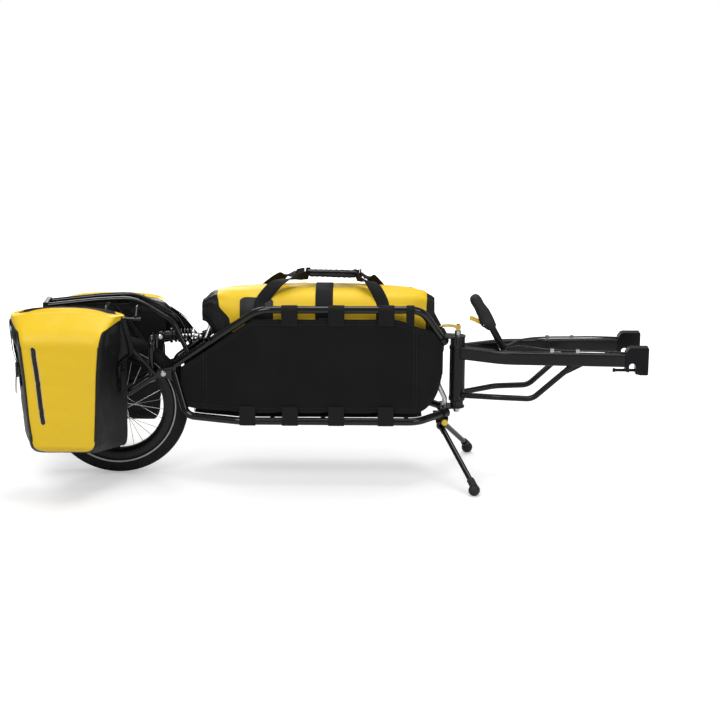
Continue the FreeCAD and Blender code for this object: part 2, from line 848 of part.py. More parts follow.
def make_buckles():
    """Ladder-lock buckles on the bag's centre strap, one on each flank."""
    pieces = []
    face = duffel_half + 0.6 + strap_t + seat_gap
    for side in SIDES:
        low_y = min(side * face, side * (face + 4.0))
        half = belt_width / 2 + 1.5
        frame = box(V(strap_mid_x - half, low_y, cloth_top_z - 30),
                    V(strap_mid_x + half, low_y + 4.0, cloth_top_z + 6))
        for z in (cloth_top_z - 25, cloth_top_z - 9):
            frame = frame.cut(box(V(strap_mid_x - half + 3, low_y - 1, z),
                                  V(strap_mid_x + half - 3, low_y + 5, z + 10)))
        pieces.append(frame)
    return pieces


def make_cable_clips():
    """Clips that hold the release cables on the arms' tops."""
    clips = []
    for side in SIDES:
        points = cable_points(side)
        for index in (3, 4):
            at = points[index]
            base = arm_z + arm_height / 2 + weld_gap
            clip = box(V(at.x - 5, at.y - 5.5, base), V(at.x + 5, at.y + 5.5, at.z + cable_r + 1.8))
            clip = clip.cut(tube(points, cable_r + 0.3, cable_bends(points)))
            clips.append(clip)
    return clips


# Suspension

def swing_points(side):
    """Centre line of one swingarm tube, from behind its eye back to the dropout."""
    return [V(pivot_x - 18, side * swing_half, pivot_z - 7), V(pivot_x - 40, side * swing_half, pivot_z - 18),
            V(wheel_x + 38, side * 60.0, 250.0), V(wheel_x - 2, side * 60.0, 229.0)]


def make_swing_arms():
    """Two arms from the nose clevises back to the dropouts."""
    arms = []
    for side in SIDES:
        arm = tube(swing_points(side), swing_r, [60.0, 60.0], swing_wall)
        near_y = side * swing_half - eye_width / 2
        eye = cylinder(V(pivot_x, near_y, pivot_z), V(pivot_x, near_y + eye_width, pivot_z), eye_r)
        eye = eye.fuse(box(V(pivot_x - 24, near_y, pivot_z - 16),
                           V(pivot_x - 4, near_y + eye_width, pivot_z + 5)))
        bore = cylinder(V(pivot_x, side * (swing_half - 20), pivot_z),
                        V(pivot_x, side * (swing_half + 20), pivot_z), pivot_bolt_r + 3.0)
        arms.append(arm.fuse(eye).cut(bore))
    return arms


def make_swing_arch():
    """Bridge over the tyre that ties the arms and carries the shock's rear eye."""
    foot_x_here = pivot_x - 34
    foot_z = pivot_z - 12
    points = [V(foot_x_here, -swing_half - 2, foot_z), V(arch_x, -swing_half - 2, arch_z),
              V(arch_x, swing_half + 2, arch_z), V(foot_x_here, swing_half + 2, foot_z)]
    arch = tube(points, arch_r, [22.0, 22.0], 1.5)
    for side in SIDES:
        arch = arch.cut(tube(swing_points(side), swing_r + weld_gap, [60.0, 60.0]))
    arch = max(arch.Solids, key=lambda s: s.Volume)
    ears = []
    for y in (-11.6, 7.6):
        outline = [V(arch_x, y, arch_z - 5), V(shock_rear_x + 5, y, shock_z - 10),
                   V(shock_rear_x + 10, y, shock_z),
                   V(shock_rear_x + 5, y, shock_z + 9), V(arch_x, y, arch_z + 7)]
        ears.append(plate(outline, V(0, 4.0, 0)).cut(
            cylinder(V(arch_x, -40, arch_z), V(arch_x, 40, arch_z), arch_r - 1.0)))
    for ear in ears:
        arch = arch.fuse(ear)
    return arch.cut(cylinder(V(shock_rear_x, -40, shock_z), V(shock_rear_x, 40, shock_z),
                             shock_bolt_r + run_gap))


def make_dropouts():
    """Plates under the arm ends, slotted for the axle."""
    plates = []
    for side in SIDES:
        inner = hub_width / 2
        low = min(side * inner, side * (inner + dropout_plate))
        outline = [V(wheel_x + 26, low, 250), V(wheel_x - 14, low, 236), V(wheel_x - 18, low, 205),
                   V(wheel_x - 10, low, 186), V(wheel_x + 10, low, 186), V(wheel_x + 17, low, 205)]
        ear = plate(outline, V(0, dropout_plate, 0))
        slot = cylinder(V(wheel_x, -80, wheel_z), V(wheel_x, 80, wheel_z), axle_r + run_gap)
        slot = slot.fuse(Part.makeBox(2 * (axle_r + run_gap), 160, 40,
                                      V(wheel_x - axle_r - run_gap, -80, wheel_z - 40)))
        arm = tube(swing_points(side), swing_r + weld_gap, [60.0, 60.0])
        plates.append(max(ear.cut(slot).cut(arm).Solids, key=lambda s: s.Volume))
    return plates


def make_swing_bushes():
    """Plain bushes pressed in the arm eyes."""
    bushes = []
    for side in SIDES:
        face = ring_face(V(pivot_x, side * swing_half - eye_width / 2, pivot_z), V(0, 1, 0),
                         pivot_bolt_r + 3.0 - 0.02, pivot_bolt_r + run_gap)
        bushes.append(face.extrude(V(0, eye_width, 0)))
    return bushes


def bolt_y(x, z, low_y, high_y, radius, head_t=5.5, nut_t=5.0):
    """Bolt along Y with a domed head at its low end and a hexagon nut at its high end."""
    shank = cylinder(V(x, low_y, z), V(x, high_y, z), radius)
    head = turned([(-head_t, radius * 0.9), (-head_t * 0.75, radius * 1.6), (0, radius * 1.75)],
                  V(x, low_y, z), "Y")
    corners = [V(x + radius * 1.75 * math.cos(math.pi / 3 * i), high_y,
                 z + radius * 1.75 * math.sin(math.pi / 3 * i))
               for i in range(6)]
    return shank.fuse(head).fuse(plate(corners, V(0, nut_t, 0)))


def make_pivot_bolts():
    """Swingarm pivot bolts, low on the tyre's side, and the shock's front bolt."""
    outer = swing_half + eye_width / 2 + run_gap + 2 * ear_t + 0.05
    inner = swing_half - eye_width / 2 - run_gap - ear_t - 0.05
    bolts = [bolt_y(pivot_x, pivot_z, inner, outer, pivot_bolt_r, 2.2, 5.0),
             bolt_y(pivot_x, pivot_z, -outer, -inner, pivot_bolt_r, 5.5, 2.2),
             bolt_y(shock_front_x, shock_z, -11.05, 11.05, shock_bolt_r)]
    return bolts


def make_shock_body():
    """Damper tube with its rear eye."""
    body = turned([(10, damper_r - 2), (12, damper_r), (58, damper_r), (60, damper_r - 2)],
                  V(shock_rear_x, 0, shock_z), "X")
    eye = cylinder(V(shock_rear_x, -7.2, shock_z), V(shock_rear_x, 7.2, shock_z), 10.5)
    neck = box(V(shock_rear_x, -6, shock_z - 7), V(shock_rear_x + 14, 6, shock_z + 7))
    body = body.fuse(eye).fuse(neck)
    body = body.cut(cylinder(V(shock_rear_x, -20, shock_z), V(shock_rear_x, 20, shock_z),
                             shock_bolt_r + run_gap))
    bore = cylinder(V(shock_rear_x + 24, 0, shock_z), V(shock_rear_x + 80, 0, shock_z), shaft_r + run_gap)
    return body.cut(bore)


spring_start_x = shock_rear_x + 34.0
seat_x = spring_start_x + spring_length


def make_shock_shaft():
    """Shaft with the spring's front seat and the front eye."""
    rod = cylinder(V(shock_rear_x + 46, 0, shock_z), V(shock_front_x - 6, 0, shock_z), shaft_r)
    seat = turned([(0, 19.5), (2.5, 19.5), (4.5, 12.0)], V(seat_x + 0.1, 0, shock_z), "X")
    eye = cylinder(V(shock_front_x, -7.2, shock_z), V(shock_front_x, 7.2, shock_z), 10.5)
    whole = rod.fuse(seat).fuse(eye)
    hole = cylinder(V(shock_front_x, -20, shock_z), V(shock_front_x, 20, shock_z),
                    shock_bolt_r + open_pivot_gap)
    return whole.cut(hole)


def make_shock_collar():
    """Notched ring that sets the spring's preload."""
    ring = turned([(-7, 19.0), (-6, 20.5), (-1, 20.5), (-0.1, 19.0)], V(spring_start_x, 0, shock_z), "X")
    ring = ring.cut(cylinder(V(spring_start_x - 20, 0, shock_z), V(spring_start_x + 10, 0, shock_z),
                             damper_r + 0.03))
    for i in range(6):
        a = math.radians(60 * i + 30)
        notch = Part.makeBox(4, 5, 5, V(spring_start_x - 7.5, -2.5, 17.5))
        notch.rotate(V(0, 0, 0), V(1, 0, 0), math.degrees(a))
        notch.translate(V(0, 0, shock_z))
        ring = ring.cut(notch)
    return ring


def helix_point(turn):
    angle = 2 * math.pi * turn
    run = (spring_length - 2 * spring_wire_r - 0.3) / spring_turns
    return V(spring_start_x + spring_wire_r + 0.15 + run * turn, spring_mean_r * math.cos(angle),
             shock_z + spring_mean_r * math.sin(angle))


def helix_tangent(turn):
    angle = 2 * math.pi * turn
    run = (spring_length - 2 * spring_wire_r - 0.3) / spring_turns
    speed = 2 * math.pi * spring_mean_r
    return V(run, -speed * math.sin(angle), speed * math.cos(angle)).normalize()


def biarc(p0, t0, p1, t1):
    """Two arcs that join two points with the given tangents."""
    chord = p1 - p0
    total = t0 + t1
    a = total.dot(total) - 4
    b = -2 * chord.dot(total)
    c = chord.dot(chord)
    root = math.sqrt(b * b - 4 * a * c)
    d = min(v for v in ((-b + root) / (2 * a), (-b - root) / (2 * a)) if v > 0)
    q0 = p0 + t0 * d
    q1 = p1 - t1 * d
    join = (q0 + q1) * 0.5
    arcs = []
    for a0, q, a1 in ((p0, q0, join), (join, q1, p1)):
        w = (a1 - a0).Length / 2 / d
        mid = ((a0 + a1) * 0.5) * (1 / (1 + w)) + q * (w / (1 + w))
        arcs.append(Part.Arc(a0, mid, a1).toShape())
    return arcs


def make_spring():
    """Coil spring wound as one unbroken tube of arcs."""
    edges = []
    steps = int(spring_turns * 4)
    for i in range(steps):
        a = i / 4
        b = (i + 1) / 4
        edges += biarc(helix_point(a), helix_tangent(a), helix_point(b), helix_tangent(b))
    path = Part.Wire(edges)
    profile = Part.Wire([Part.Circle(helix_point(0), helix_tangent(0), spring_wire_r).toShape()])
    least = 1e9
    for i in range(steps * 2):
        for k in range(-4, 5):
            j = i / 8 + 1 + k / 32
            if j <= spring_turns:
                least = min(least, (helix_point(i / 8) - helix_point(j)).Length - 2 * spring_wire_r)
    print("spring least self gap %.2f mm" % least)
    return path.makePipeShell([profile], True, False)


# Wheel

def wheel_ring(profile):
    """Solid turned about the wheel's axle from (radius, y) points."""
    points = [V(wheel_x + r, y, wheel_z) for r, y in profile]
    return revolve(points, V(wheel_x, 0, wheel_z), V(0, 1, 0))


def make_tyre():
    """Carcass with a rounded tread and two grooves, open at the beads."""
    half = tyre_width / 2
    crown = tyre_r
    bead = rim_width / 2 - rim_wall
    outer = [(bead_r - 1, bead - 0.9), (bead_r + 2.6, bead - 0.2), (bead_r + 3.7, bead),
             (bead_r + 5, bead + 3.0),
             (bead_r + 14, half - 0.8),
             (bead_r + 23, half),
             (crown - 12, half - 2.4), (crown - 5, 15.0), (crown - 2.2, 9.2), (crown - 4.0, 8.0),
             (crown - 1.2, 6.8),
             (crown, 2.6)]
    inner_wall = [(crown - tyre_wall - 3.5, 4.0), (crown - 14, 14.0), (bead_r + 24, half - tyre_wall),
                  (bead_r + 12, half - tyre_wall - 1), (bead_r + 4, bead - 2.6), (bead_r - 1, bead - 3.4)]
    profile = outer + [(r, -y) for r, y in outer[::-1]]
    profile += [(r, -y) for r, y in inner_wall[::-1]] + inner_wall
    return wheel_ring(profile)


def make_rim():
    """Box rim with a well for the beads and a round hole for the valve."""
    w = rim_width / 2
    t = rim_wall
    profile = [(bead_r + 2, w + 1.4), (bead_r + 2, w), (bead_r - 10, w - 0.2), (rim_inner_r + 10, w - 1.5),
               (rim_inner_r, 7.0), (rim_inner_r, -7.0), (rim_inner_r + 10, -w + 1.5), (bead_r - 10, -w + 0.2),
               (bead_r + 2, -w), (bead_r + 2, -w - 1.4)]
    well = [(bead_r + 3.2, -w - 1.4), (bead_r + 3.2, -w + t - 0.2), (bead_r - 1.2, -w + t + 0.6),
            (bead_r - 1.2, -8.0),
            (bead_r - 6, -5.0), (bead_r - 6, 5.0), (bead_r - 1.2, 8.0), (bead_r - 1.2, w - t - 0.6),
            (bead_r + 3.2, w - t + 0.2), (bead_r + 3.2, w + 1.4)]
    rim = wheel_ring(profile + well)
    valve = cylinder(V(wheel_x, 0, wheel_z - rim_inner_r + 30), V(wheel_x, 0, wheel_z - bead_r - 10), 3.3)
    return rim.cut(valve)


def make_inner_tube():
    """Air tube inside the tyre, with its valve stem."""
    centre_r = bead_r + 20.0
    profile = []
    for i in range(10):
        a = math.radians(36 * i)
        profile.append((centre_r + 16.5 * math.cos(a), 15.0 * math.sin(a)))
    ring = wheel_ring(profile)
    stem = cylinder(V(wheel_x, 0, wheel_z - bead_r - 8), V(wheel_x, 0, wheel_z - rim_inner_r + 22), 3.0)
    cap = cylinder(V(wheel_x, 0, wheel_z - rim_inner_r + 12), V(wheel_x, 0, wheel_z - rim_inner_r + 24), 3.9)
    return ring.fuse(stem).fuse(cap)


def make_hub():
    """Hub shell with two flanges and a bearing seat in each end."""
    f = hub_flange_y
    stations = [(-f - 8, bearing_r + 2.5), (-f - 2, bearing_r + 4), (-f - 1.6, hub_flange_r),
                (-f + 1.6, hub_flange_r),
                (-f + 5, 15.5), (-f + 14, hub_barrel_r), (f - 14, hub_barrel_r), (f - 5, 15.5),
                (f - 1.6, hub_flange_r),
                (f + 1.6, hub_flange_r), (f + 2, bearing_r + 4), (f + 8, bearing_r + 2.5)]
    hub = turned(stations, V(wheel_x, 0, wheel_z), "Y")
    hub = hub.cut(cylinder(V(wheel_x, -80, wheel_z), V(wheel_x, 80, wheel_z), 7.5))
    for side in SIDES:
        face = side * (f + 8)
        hub = hub.cut(cylinder(V(wheel_x, face, wheel_z), V(wheel_x, face - side * bearing_width, wheel_z),
                               bearing_r))
    return hub


def make_bearings():
    rings = []
    for side in SIDES:
        start = side * (hub_flange_y + 8)
        face = ring_face(V(wheel_x, min(start, start - side * bearing_width), wheel_z), V(0, 1, 0),
                         bearing_r - 0.02, axle_r + run_gap)
        rings.append(face.extrude(V(0, bearing_width, 0)))
    return rings


def make_axle():
    """Hollow axle with a locknut outside each bearing."""
    half = hub_width / 2
    axle = cylinder(V(wheel_x, -half - 4, wheel_z), V(wheel_x, half + 4, wheel_z), axle_r)
    for side in SIDES:
        start = side * (hub_flange_y + 8 + 0.3)
        axle = axle.fuse(cylinder(V(wheel_x, start, wheel_z), V(wheel_x, side * (half - run_gap), wheel_z),
                                  7.4))
    return axle.cut(cylinder(V(wheel_x, -80, wheel_z), V(wheel_x, 80, wheel_z), skewer_r + run_gap))


wheel_lever_arm = V(-0.6, 0, 0.8)
wheel_lever_pin = V(0.8, 0, 0.6)


def make_skewer():
    """Quick-release rod with its nut and the lever's barrel."""
    half = hub_width / 2 + dropout_plate
    rod = cylinder(V(wheel_x, -half - 20, wheel_z), V(wheel_x, half + 9, wheel_z), skewer_r)
    nut = turned([(-16, 4.5), (-14, 8.0), (-5, 8.0), (0, 10.5)], V(wheel_x, -half - 0.1, wheel_z), "Y")
    cup = turned([(0, 9.5), (8.5, 9.5), (9.5, 8.0)], V(wheel_x, half + 0.1, wheel_z), "Y")
    pivot = V(wheel_x, half + 17, wheel_z)
    barrel = cylinder(pivot - wheel_lever_pin * 4.5, pivot + wheel_lever_pin * 4.5, 4.5)
    neck = cylinder(V(wheel_x, half + 9, wheel_z), V(wheel_x, half + 15, wheel_z), 3.0)
    return rod.fuse(nut).fuse(cup).fuse(neck).fuse(barrel)


def cam_slot(pivot, out, arm, across, depth, top):
    """Slot through the cam's back, wide enough for the rod."""
    half = cam_slot_half
    start = pivot - across * half
    corners = [start - arm * depth - out * depth, start + arm * half - out * depth,
               start + arm * half + out * top, start - arm * depth + out * top]
    return plate(corners, across * (2 * half))


def cam_lever(pivot, out, arm, across, reach, cam, width, slot_top):
    """Cam lever: a forked round cam about a cross pin, with a tapered, curved blade.

    The pivot axis lies along across, out points away from the clamped face. The fork's slot
    lets the rod pass behind the pin while the lever opens, up to slot_top above the pin."""
    half = width / 2
    cam_body = cylinder(pivot - across * half, pivot + across * half, cam)
    blade = []
    for share, thick, wide, lift in ((0.0, 7.0, 1.0, 0.0), (0.45, 5.0, 0.85, 0.06), (0.8, 4.4, 0.95, 0.05),
                                     (0.97, 4.0, 0.8, -0.01), (1.0, 2.4, 0.55, -0.02)):
        centre = pivot + arm * (reach * share) + out * (reach * lift + 1.0)
        blade.append(rounded_rect(centre, across, out, width * wide, thick, 1.1))
    lever = cam_body.fuse(Part.makeLoft(blade, True, True))
    gap = Part.makeCylinder(5.4, 60, pivot - out * 60, out)
    lever = lever.cut(gap).cut(cam_slot(pivot, out, arm, across, cam + 1.0, slot_top))
    return lever.cut(cylinder(pivot - across * 5.0, pivot + across * 5.0, 4.5 + run_gap))


def make_wheel_lever():
    pivot = V(wheel_x, hub_width / 2 + dropout_plate + 17, wheel_z)
    return cam_lever(pivot, V(0, 1, 0), wheel_lever_arm, wheel_lever_pin, wheel_lever_length, 7.0, 15.0, 8.0)


def make_spokes():
    """Laced spokes: each side's are alternately leading and trailing."""
    spokes = []
    per_side = spoke_count // 2
    for k in range(spoke_count):
        side = -1 if k % 2 else 1
        trailing = 1 if (k // 2) % 2 else -1
        rim_angle = 2 * math.pi * (k + 0.5) / spoke_count
        hub_angle = rim_angle + trailing * 2 * math.pi * 1.9 / per_side
        hub_r = hub_flange_r - 2.0
        offset = 3.4 if trailing > 0 else -4.0
        a = V(wheel_x + hub_r * math.cos(hub_angle), side * (hub_flange_y + offset),
              wheel_z + hub_r * math.sin(hub_angle))
        rim_r = rim_inner_r - 0.15
        b = V(wheel_x + rim_r * math.cos(rim_angle), side * 3.0, wheel_z + rim_r * math.sin(rim_angle))
        spokes.append(cylinder(a, b, spoke_r))
    return spokes


# Steering head and fork

def make_fork_head():
    """Head tube with rolled ends, bored for the steering axle's bushes."""
    stations = [(head_low_z, head_r - 2), (head_low_z + 2, head_r), (head_low_z + 10, head_r),
                (head_low_z + 13, head_r - 1.2), (head_top_z - 13, head_r - 1.2), (head_top_z - 10, head_r),
                (head_top_z - 2, head_r), (head_top_z, head_r - 2)]
    head = turned(stations, V(steer_x, 0, 0), "Z")
    head = head.cut(Part.makeCylinder(head_bore_r, 300, V(steer_x, 0, 150)))
    for z in (head_low_z, head_top_z - bush_depth):
        head = head.cut(Part.makeCylinder(bush_r, bush_depth, V(steer_x, 0, z)))
    return head


def make_head_bushes():
    """Fluted bushes between the head and the steering plates."""
    bushes = []
    for seat, face, outer_r in ((head_low_z + bush_depth, plate_low_z + plate_t / 2 + 0.1, 18.5),
                                (head_top_z - bush_depth, plate_top_z - plate_t / 2 - 0.1, 20.5)):
        top = face > seat
        mouth = head_top_z if top else head_low_z
        inner_part = cylinder(V(steer_x, 0, seat), V(steer_x, 0, mouth), bush_r - 0.02)
        outer_part = cylinder(V(steer_x, 0, mouth + (0.05 if top else -0.05)), V(steer_x, 0, face), outer_r)
        for i in range(10):
            a = 2 * math.pi * i / 10
            centre = V(steer_x + (outer_r + 2.2) * math.cos(a), (outer_r + 2.2) * math.sin(a),
                       min(face, mouth) + 3)
            outer_part = outer_part.cut(Part.makeCylinder(4.0, abs(face - mouth) - 6, centre))
        bush = inner_part.fuse(outer_part)
        bushes.append(bush.cut(Part.makeCylinder(head_axle_r + run_gap, 300, V(steer_x, 0, 150))))
    return bushes


def make_head_axle():
    """Long quick-release axle through both plates, with its domed nut."""
    rod = cylinder(V(steer_x, 0, plate_low_z - 14), V(steer_x, 0, plate_top_z + 6), head_axle_r)
    rod = rod.fuse(cylinder(V(steer_x, 0, plate_top_z), V(steer_x, 0, cam_z), 3.6))
    cup = cylinder(V(steer_x, 0, plate_top_z + plate_t / 2 + 0.1), V(steer_x, 0, cam_z - cam_r - 2.5), 9.0)
    barrel = cylinder(V(steer_x, -4.5, cam_z), V(steer_x, 4.5, cam_z), 4.5)
    top = plate_low_z - plate_t / 2 - 0.1
    nut = turned([(top - 15, 3.5), (top - 13, 7.5), (top - 8, 9.5), (top - 4, 9.5), (top - 3.5, 12.0),
                  (top, 12.0)],
                 V(steer_x, 0, 0), "Z")
    return rod.fuse(cup).fuse(barrel).fuse(nut)


def make_head_lever():
    pivot = V(steer_x, 0, cam_z)
    return cam_lever(pivot, V(0, 0, 1), V(-1, 0, 0), V(0, 1, 0), lever_length, cam_r, 15.0, 8.5)


def arm_points(side):
    return [V(steer_x + 12, side * 14.0, arm_z), V(arm_bend_x, side * arm_bend_half, arm_z),
            V(hitch_x - block_rear - weld_gap, side * block_half, arm_z)]


def arm_sweep(side, grow, wall):
    points = arm_points(side)
    direction = (points[1] - points[0]).normalize()
    across = V(0, 0, 1).cross(direction)
    path = bent_wire(points, 160.0)
    outline = rounded_rect(points[0], across, V(0, 0, 1), arm_width + 2 * grow, arm_height + 2 * grow,
                           arm_corner + grow)
    if wall:
        hole = rounded_rect(points[0], across, V(0, 0, 1), arm_width - 2 * wall, arm_height - 2 * wall,
                            arm_corner - wall)
        return path.makePipe(Part.Face(outline)).cut(path.makePipe(Part.Face(hole)))
    return path.makePipe(Part.Face(outline))


def make_arm(side):
    """Box-section fork arm, coped to the head."""
    arm = arm_sweep(side, 0.0, arm_wall)
    head = Part.makeCylinder(head_r + weld_gap, 200, V(steer_x, 0, head_low_z - 20))
    arm = arm.cut(head)
    far_half = box(V(steer_x - 50, -200, 0), V(hitch_x, 0.2, 600)) if side < 0 else \
        box(V(steer_x - 50, -0.2, 0), V(hitch_x, 200, 600))
    arm = arm.common(far_half)
    arm = arm.cut(box(V(hitch_x - block_rear - weld_gap, -200, 0), V(hitch_x + 60, 200, 600)))
    return max(arm.Solids, key=lambda s: s.Volume)


def make_lower_tubes():
    """Lower braces from the head forward, then up to the arms."""
    tubes = []
    for side in SIDES:
        points = [V(steer_x + 10, side * 14.0, lower_root_z), V(steer_x + 110, side * 58.0, lower_z),
                  V(lower_bend_x, side * lower_bend_half, lower_z),
                  V(lower_top_x, side * 79.0, arm_z - arm_height / 2 + 6)]
        brace = tube(points, lower_r, [120.0, 42.0], lower_wall)
        brace = brace.cut(Part.makeCylinder(head_r + weld_gap, 200, V(steer_x, 0, head_low_z - 20)))
        brace = brace.cut(arm_sweep(side, weld_gap, 0))
        brace = max(brace.Solids, key=lambda s: s.Volume)
        gusset_x = lower_top_x - 4
        y = side * 78.4
        outline = [V(gusset_x + 4, y - 1.5, arm_z - arm_height / 2 - weld_gap),
                   V(gusset_x + 30, y - 1.5, arm_z - arm_height / 2 - weld_gap),
                   V(gusset_x - 26, y - 1.5, arm_z - arm_height / 2 - 40)]
        inner = tube(points, lower_r - lower_wall / 2, [120.0, 42.0])
        brace = brace.fuse(plate(outline, V(0, 3.0, 0)).cut(inner))
        tubes.append(brace)
    return tubes


def stem_points():
    return [V(bridge_x, 0, arm_z + 2), V(bridge_x - 44, 0, arm_z + 83), V(bridge_x - 74, 0, arm_z + 132)]


def make_bridge():
    """Cast bridge between the arms, with the handle's stem rising from it."""
    half = arm_bend_half
    sections = []
    for y, deep, tall in ((-half, 40.0, 26.0), (-half * 0.45, 26.0, 20.0), (0.0, 34.0, 24.0),
                          (half * 0.45, 26.0, 20.0),
                          (half, 40.0, 26.0)):
        sections.append(rounded_rect(V(bridge_x, y, arm_z), V(1, 0, 0), V(0, 0, 1), deep, tall, 5.0))
    bridge = Part.makeLoft(sections, True, True)
    for side in SIDES:
        bridge = bridge.cut(arm_sweep(side, weld_gap, 0))
    bridge = max(bridge.Solids, key=lambda s: s.Volume)
    stem = tube(stem_points(), stem_r, [120.0])
    bridge = bridge.fuse(stem)
    for side in SIDES:
        start = cable_points(side)[0]
        bridge = bridge.cut(cylinder(start - V(0, 0, 0.5), start + (cable_points(side)[1] - start) * 0.8,
                                     cable_r + 0.3))
    return bridge


grip_base = V(bridge_x - 36, 0, arm_z + 68)
grip_axis = V(-0.51, 0, 0.86)
grip_front = V(0.86, 0, 0.51)
trigger_pivot = V(bridge_x - 60.5, 0, arm_z + 79)


def make_grip():
    """Moulded grip: widest at the trigger housing, rounded at its tip."""
    sections = []
    for along, radius, bulge in ((0.0, 12.6, 0.0), (4.0, 14.8, 0.0), (20.0, 20.0, -3.0), (30.0, 20.8, -3.0),
                                 (50.0, 18.6, 0.0), (72.0, 15.6, 0.0), (90.0, 16.2, 0.0), (100.0, 14.6, 0.0),
                                 (107.0, 9.5, 0.0), (109.0, 4.0, 0.0)):
        centre = grip_base + grip_axis * along + grip_front * bulge
        sections.append(Part.Wire([Part.Circle(centre, grip_axis, radius).toShape()]))
    grip = Part.makeLoft(sections, True, True)
    grip = grip.cut(tube(stem_points(), stem_r + run_gap, [120.0]))
    half = trigger_width / 2 + 0.3
    slot = plate([trigger_pivot + V(9, -half, -12), trigger_pivot + V(6, -half, 9),
                  trigger_pivot + V(-12, -half, 26),
                  trigger_pivot + V(-60, -half, 26), trigger_pivot + V(-60, -half, -30)], V(0, 2 * half, 0))
    grip = grip.cut(slot)
    hole = cylinder(trigger_pivot - V(0, 30, 0), trigger_pivot + V(0, 30, 0), trigger_pin_r + run_gap)
    return max(grip.cut(hole).Solids, key=lambda s: s.Volume)


def make_trigger():
    """Finger lever whose pad stands out behind the grip."""
    half = trigger_width / 2
    outline = [V(3.5, -half, -4.5), V(-16, -half, 3.0), V(-30, -half, 10.0), V(-38.5, -half, 12.5),
               V(-38.0, -half, 21.5),
               V(-31, -half, 21.0), V(-18, -half, 15.5), V(2, -half, 5.0)]
    lever = plate([trigger_pivot + p for p in outline], V(0, trigger_width, 0))
    edges = [e for e in lever.Edges if abs(e.Vertexes[0].Point.y - e.Vertexes[1].Point.y) > 1]
    lever = lever.makeFillet(1.6, edges)
    lever = lever.fuse(cylinder(trigger_pivot - V(0, half, 0), trigger_pivot + V(0, half, 0), 5.0))
    return lever.cut(cylinder(trigger_pivot - V(0, 30, 0), trigger_pivot + V(0, 30, 0),
                              trigger_pin_r + run_gap))


def make_trigger_pin():
    return cylinder(trigger_pivot - V(0, 12.5, 0), trigger_pivot + V(0, 12.5, 0), trigger_pin_r)


def make_blocks():
    """Hitch blocks: a slot open below takes the axle, and the lock pin closes it."""
    blocks = []
    for side in SIDES:
        inner = block_half - block_width / 2
        outer = block_half + block_width / 2
        low_y = min(side * inner, side * outer)
        outline = [V(hitch_x - block_rear, low_y, block_top_z - 14),
                   V(hitch_x - block_rear + 8, low_y, block_top_z - 3),
                   V(hitch_x - 4, low_y, block_top_z), V(hitch_x + block_nose, low_y, block_top_z),
                   V(hitch_x + block_nose, low_y, block_low_z),
                   V(hitch_x + block_nose - 22, low_y, block_low_z),
                   V(hitch_x - block_rear, low_y, block_low_z + 10)]
        block = plate(outline, V(0, block_width, 0))
        upright = [e for e in block.Edges if abs(e.Vertexes[0].Point.y - e.Vertexes[1].Point.y) > 1]
        block = block.makeFillet(3.0, upright)
        near = low_y - 5
        far = near + block_width + 10
        slot = cylinder(V(hitch_x, near, hitch_z), V(hitch_x, far, hitch_z), slot_r)
        slot = slot.fuse(box(V(hitch_x - slot_r, near, block_low_z - 20), V(hitch_x + slot_r, far, hitch_z)))
        pin_z = hitch_z - slot_r - lock_pin_r - 0.2
        pin_y = side * block_half
        bore = cylinder(V(hitch_x - block_rear - 10, pin_y, pin_z), V(hitch_x + slot_r + 8, pin_y, pin_z),
                        lock_pin_r + run_gap)
        blocks.append(block.cut(slot).cut(bore))
    return blocks


def make_lock_pins():
    pins = []
    for side in SIDES:
        pin_z = hitch_z - slot_r - lock_pin_r - 0.2
        pin_y = side * block_half
        pin = cylinder(V(hitch_x - block_rear - 26, pin_y, pin_z), V(hitch_x + slot_r + 6, pin_y, pin_z),
                       lock_pin_r)
        knob = turned([(0, 5.5), (6, 5.5), (7, 4.5)], V(hitch_x - block_rear - 33, pin_y, pin_z), "X")
        pins.append(pin.fuse(knob))
    return pins


def cable_points(side):
    """Route of one release cable, from the bridge along the arm's top to its block."""
    start = V(bridge_x + 6, side * 13.0, arm_z + 12.5)
    top = arm_z + arm_height / 2 + cable_r + 2.4
    return [start, V(bridge_x + 30, side * 24.0, arm_z + 24), V(bridge_x + 70, side * 52.0, top + 3),
            V(bridge_x + 125, side * 73.0, top + 1), V(bridge_x + 195, side * 77.5, top + 0.4),
            V(bridge_x + 262, side * 80.0, top + 1.2),
            V(hitch_x - block_rear - 0.3, side * 84.5, top - 2.2)]


def cable_bends(points):
    """Bend radii that use most of the shorter run beside each corner."""
    radii = []
    for i in range(1, len(points) - 1):
        before = points[i - 1] - points[i]
        after = points[i + 1] - points[i]
        turn = math.pi - before.getAngle(after)
        radii.append(0.45 * min(before.Length, after.Length) / math.tan(turn / 2))
    return radii


def make_cables():
    cables = []
    for side in SIDES:
        points = cable_points(side)
        radii = cable_bends(points)
        length = bent_wire(points, radii).Length
        cable = tube(points, cable_r, radii)
        print("cable radii", [round(r) for r in radii])
        print("cable length %.0f mm, volume ratio %.4f" % (length,
                                                           cable.Volume / (math.pi * cable_r ** 2 * length)))
        cables.append(cable)
    return cables


# Kickstand

def index_point(y):
    """Centre of the index pin, ahead of and above the stand's pivot."""
    return V(stand_x + 10.5, y, stand_z + 13)


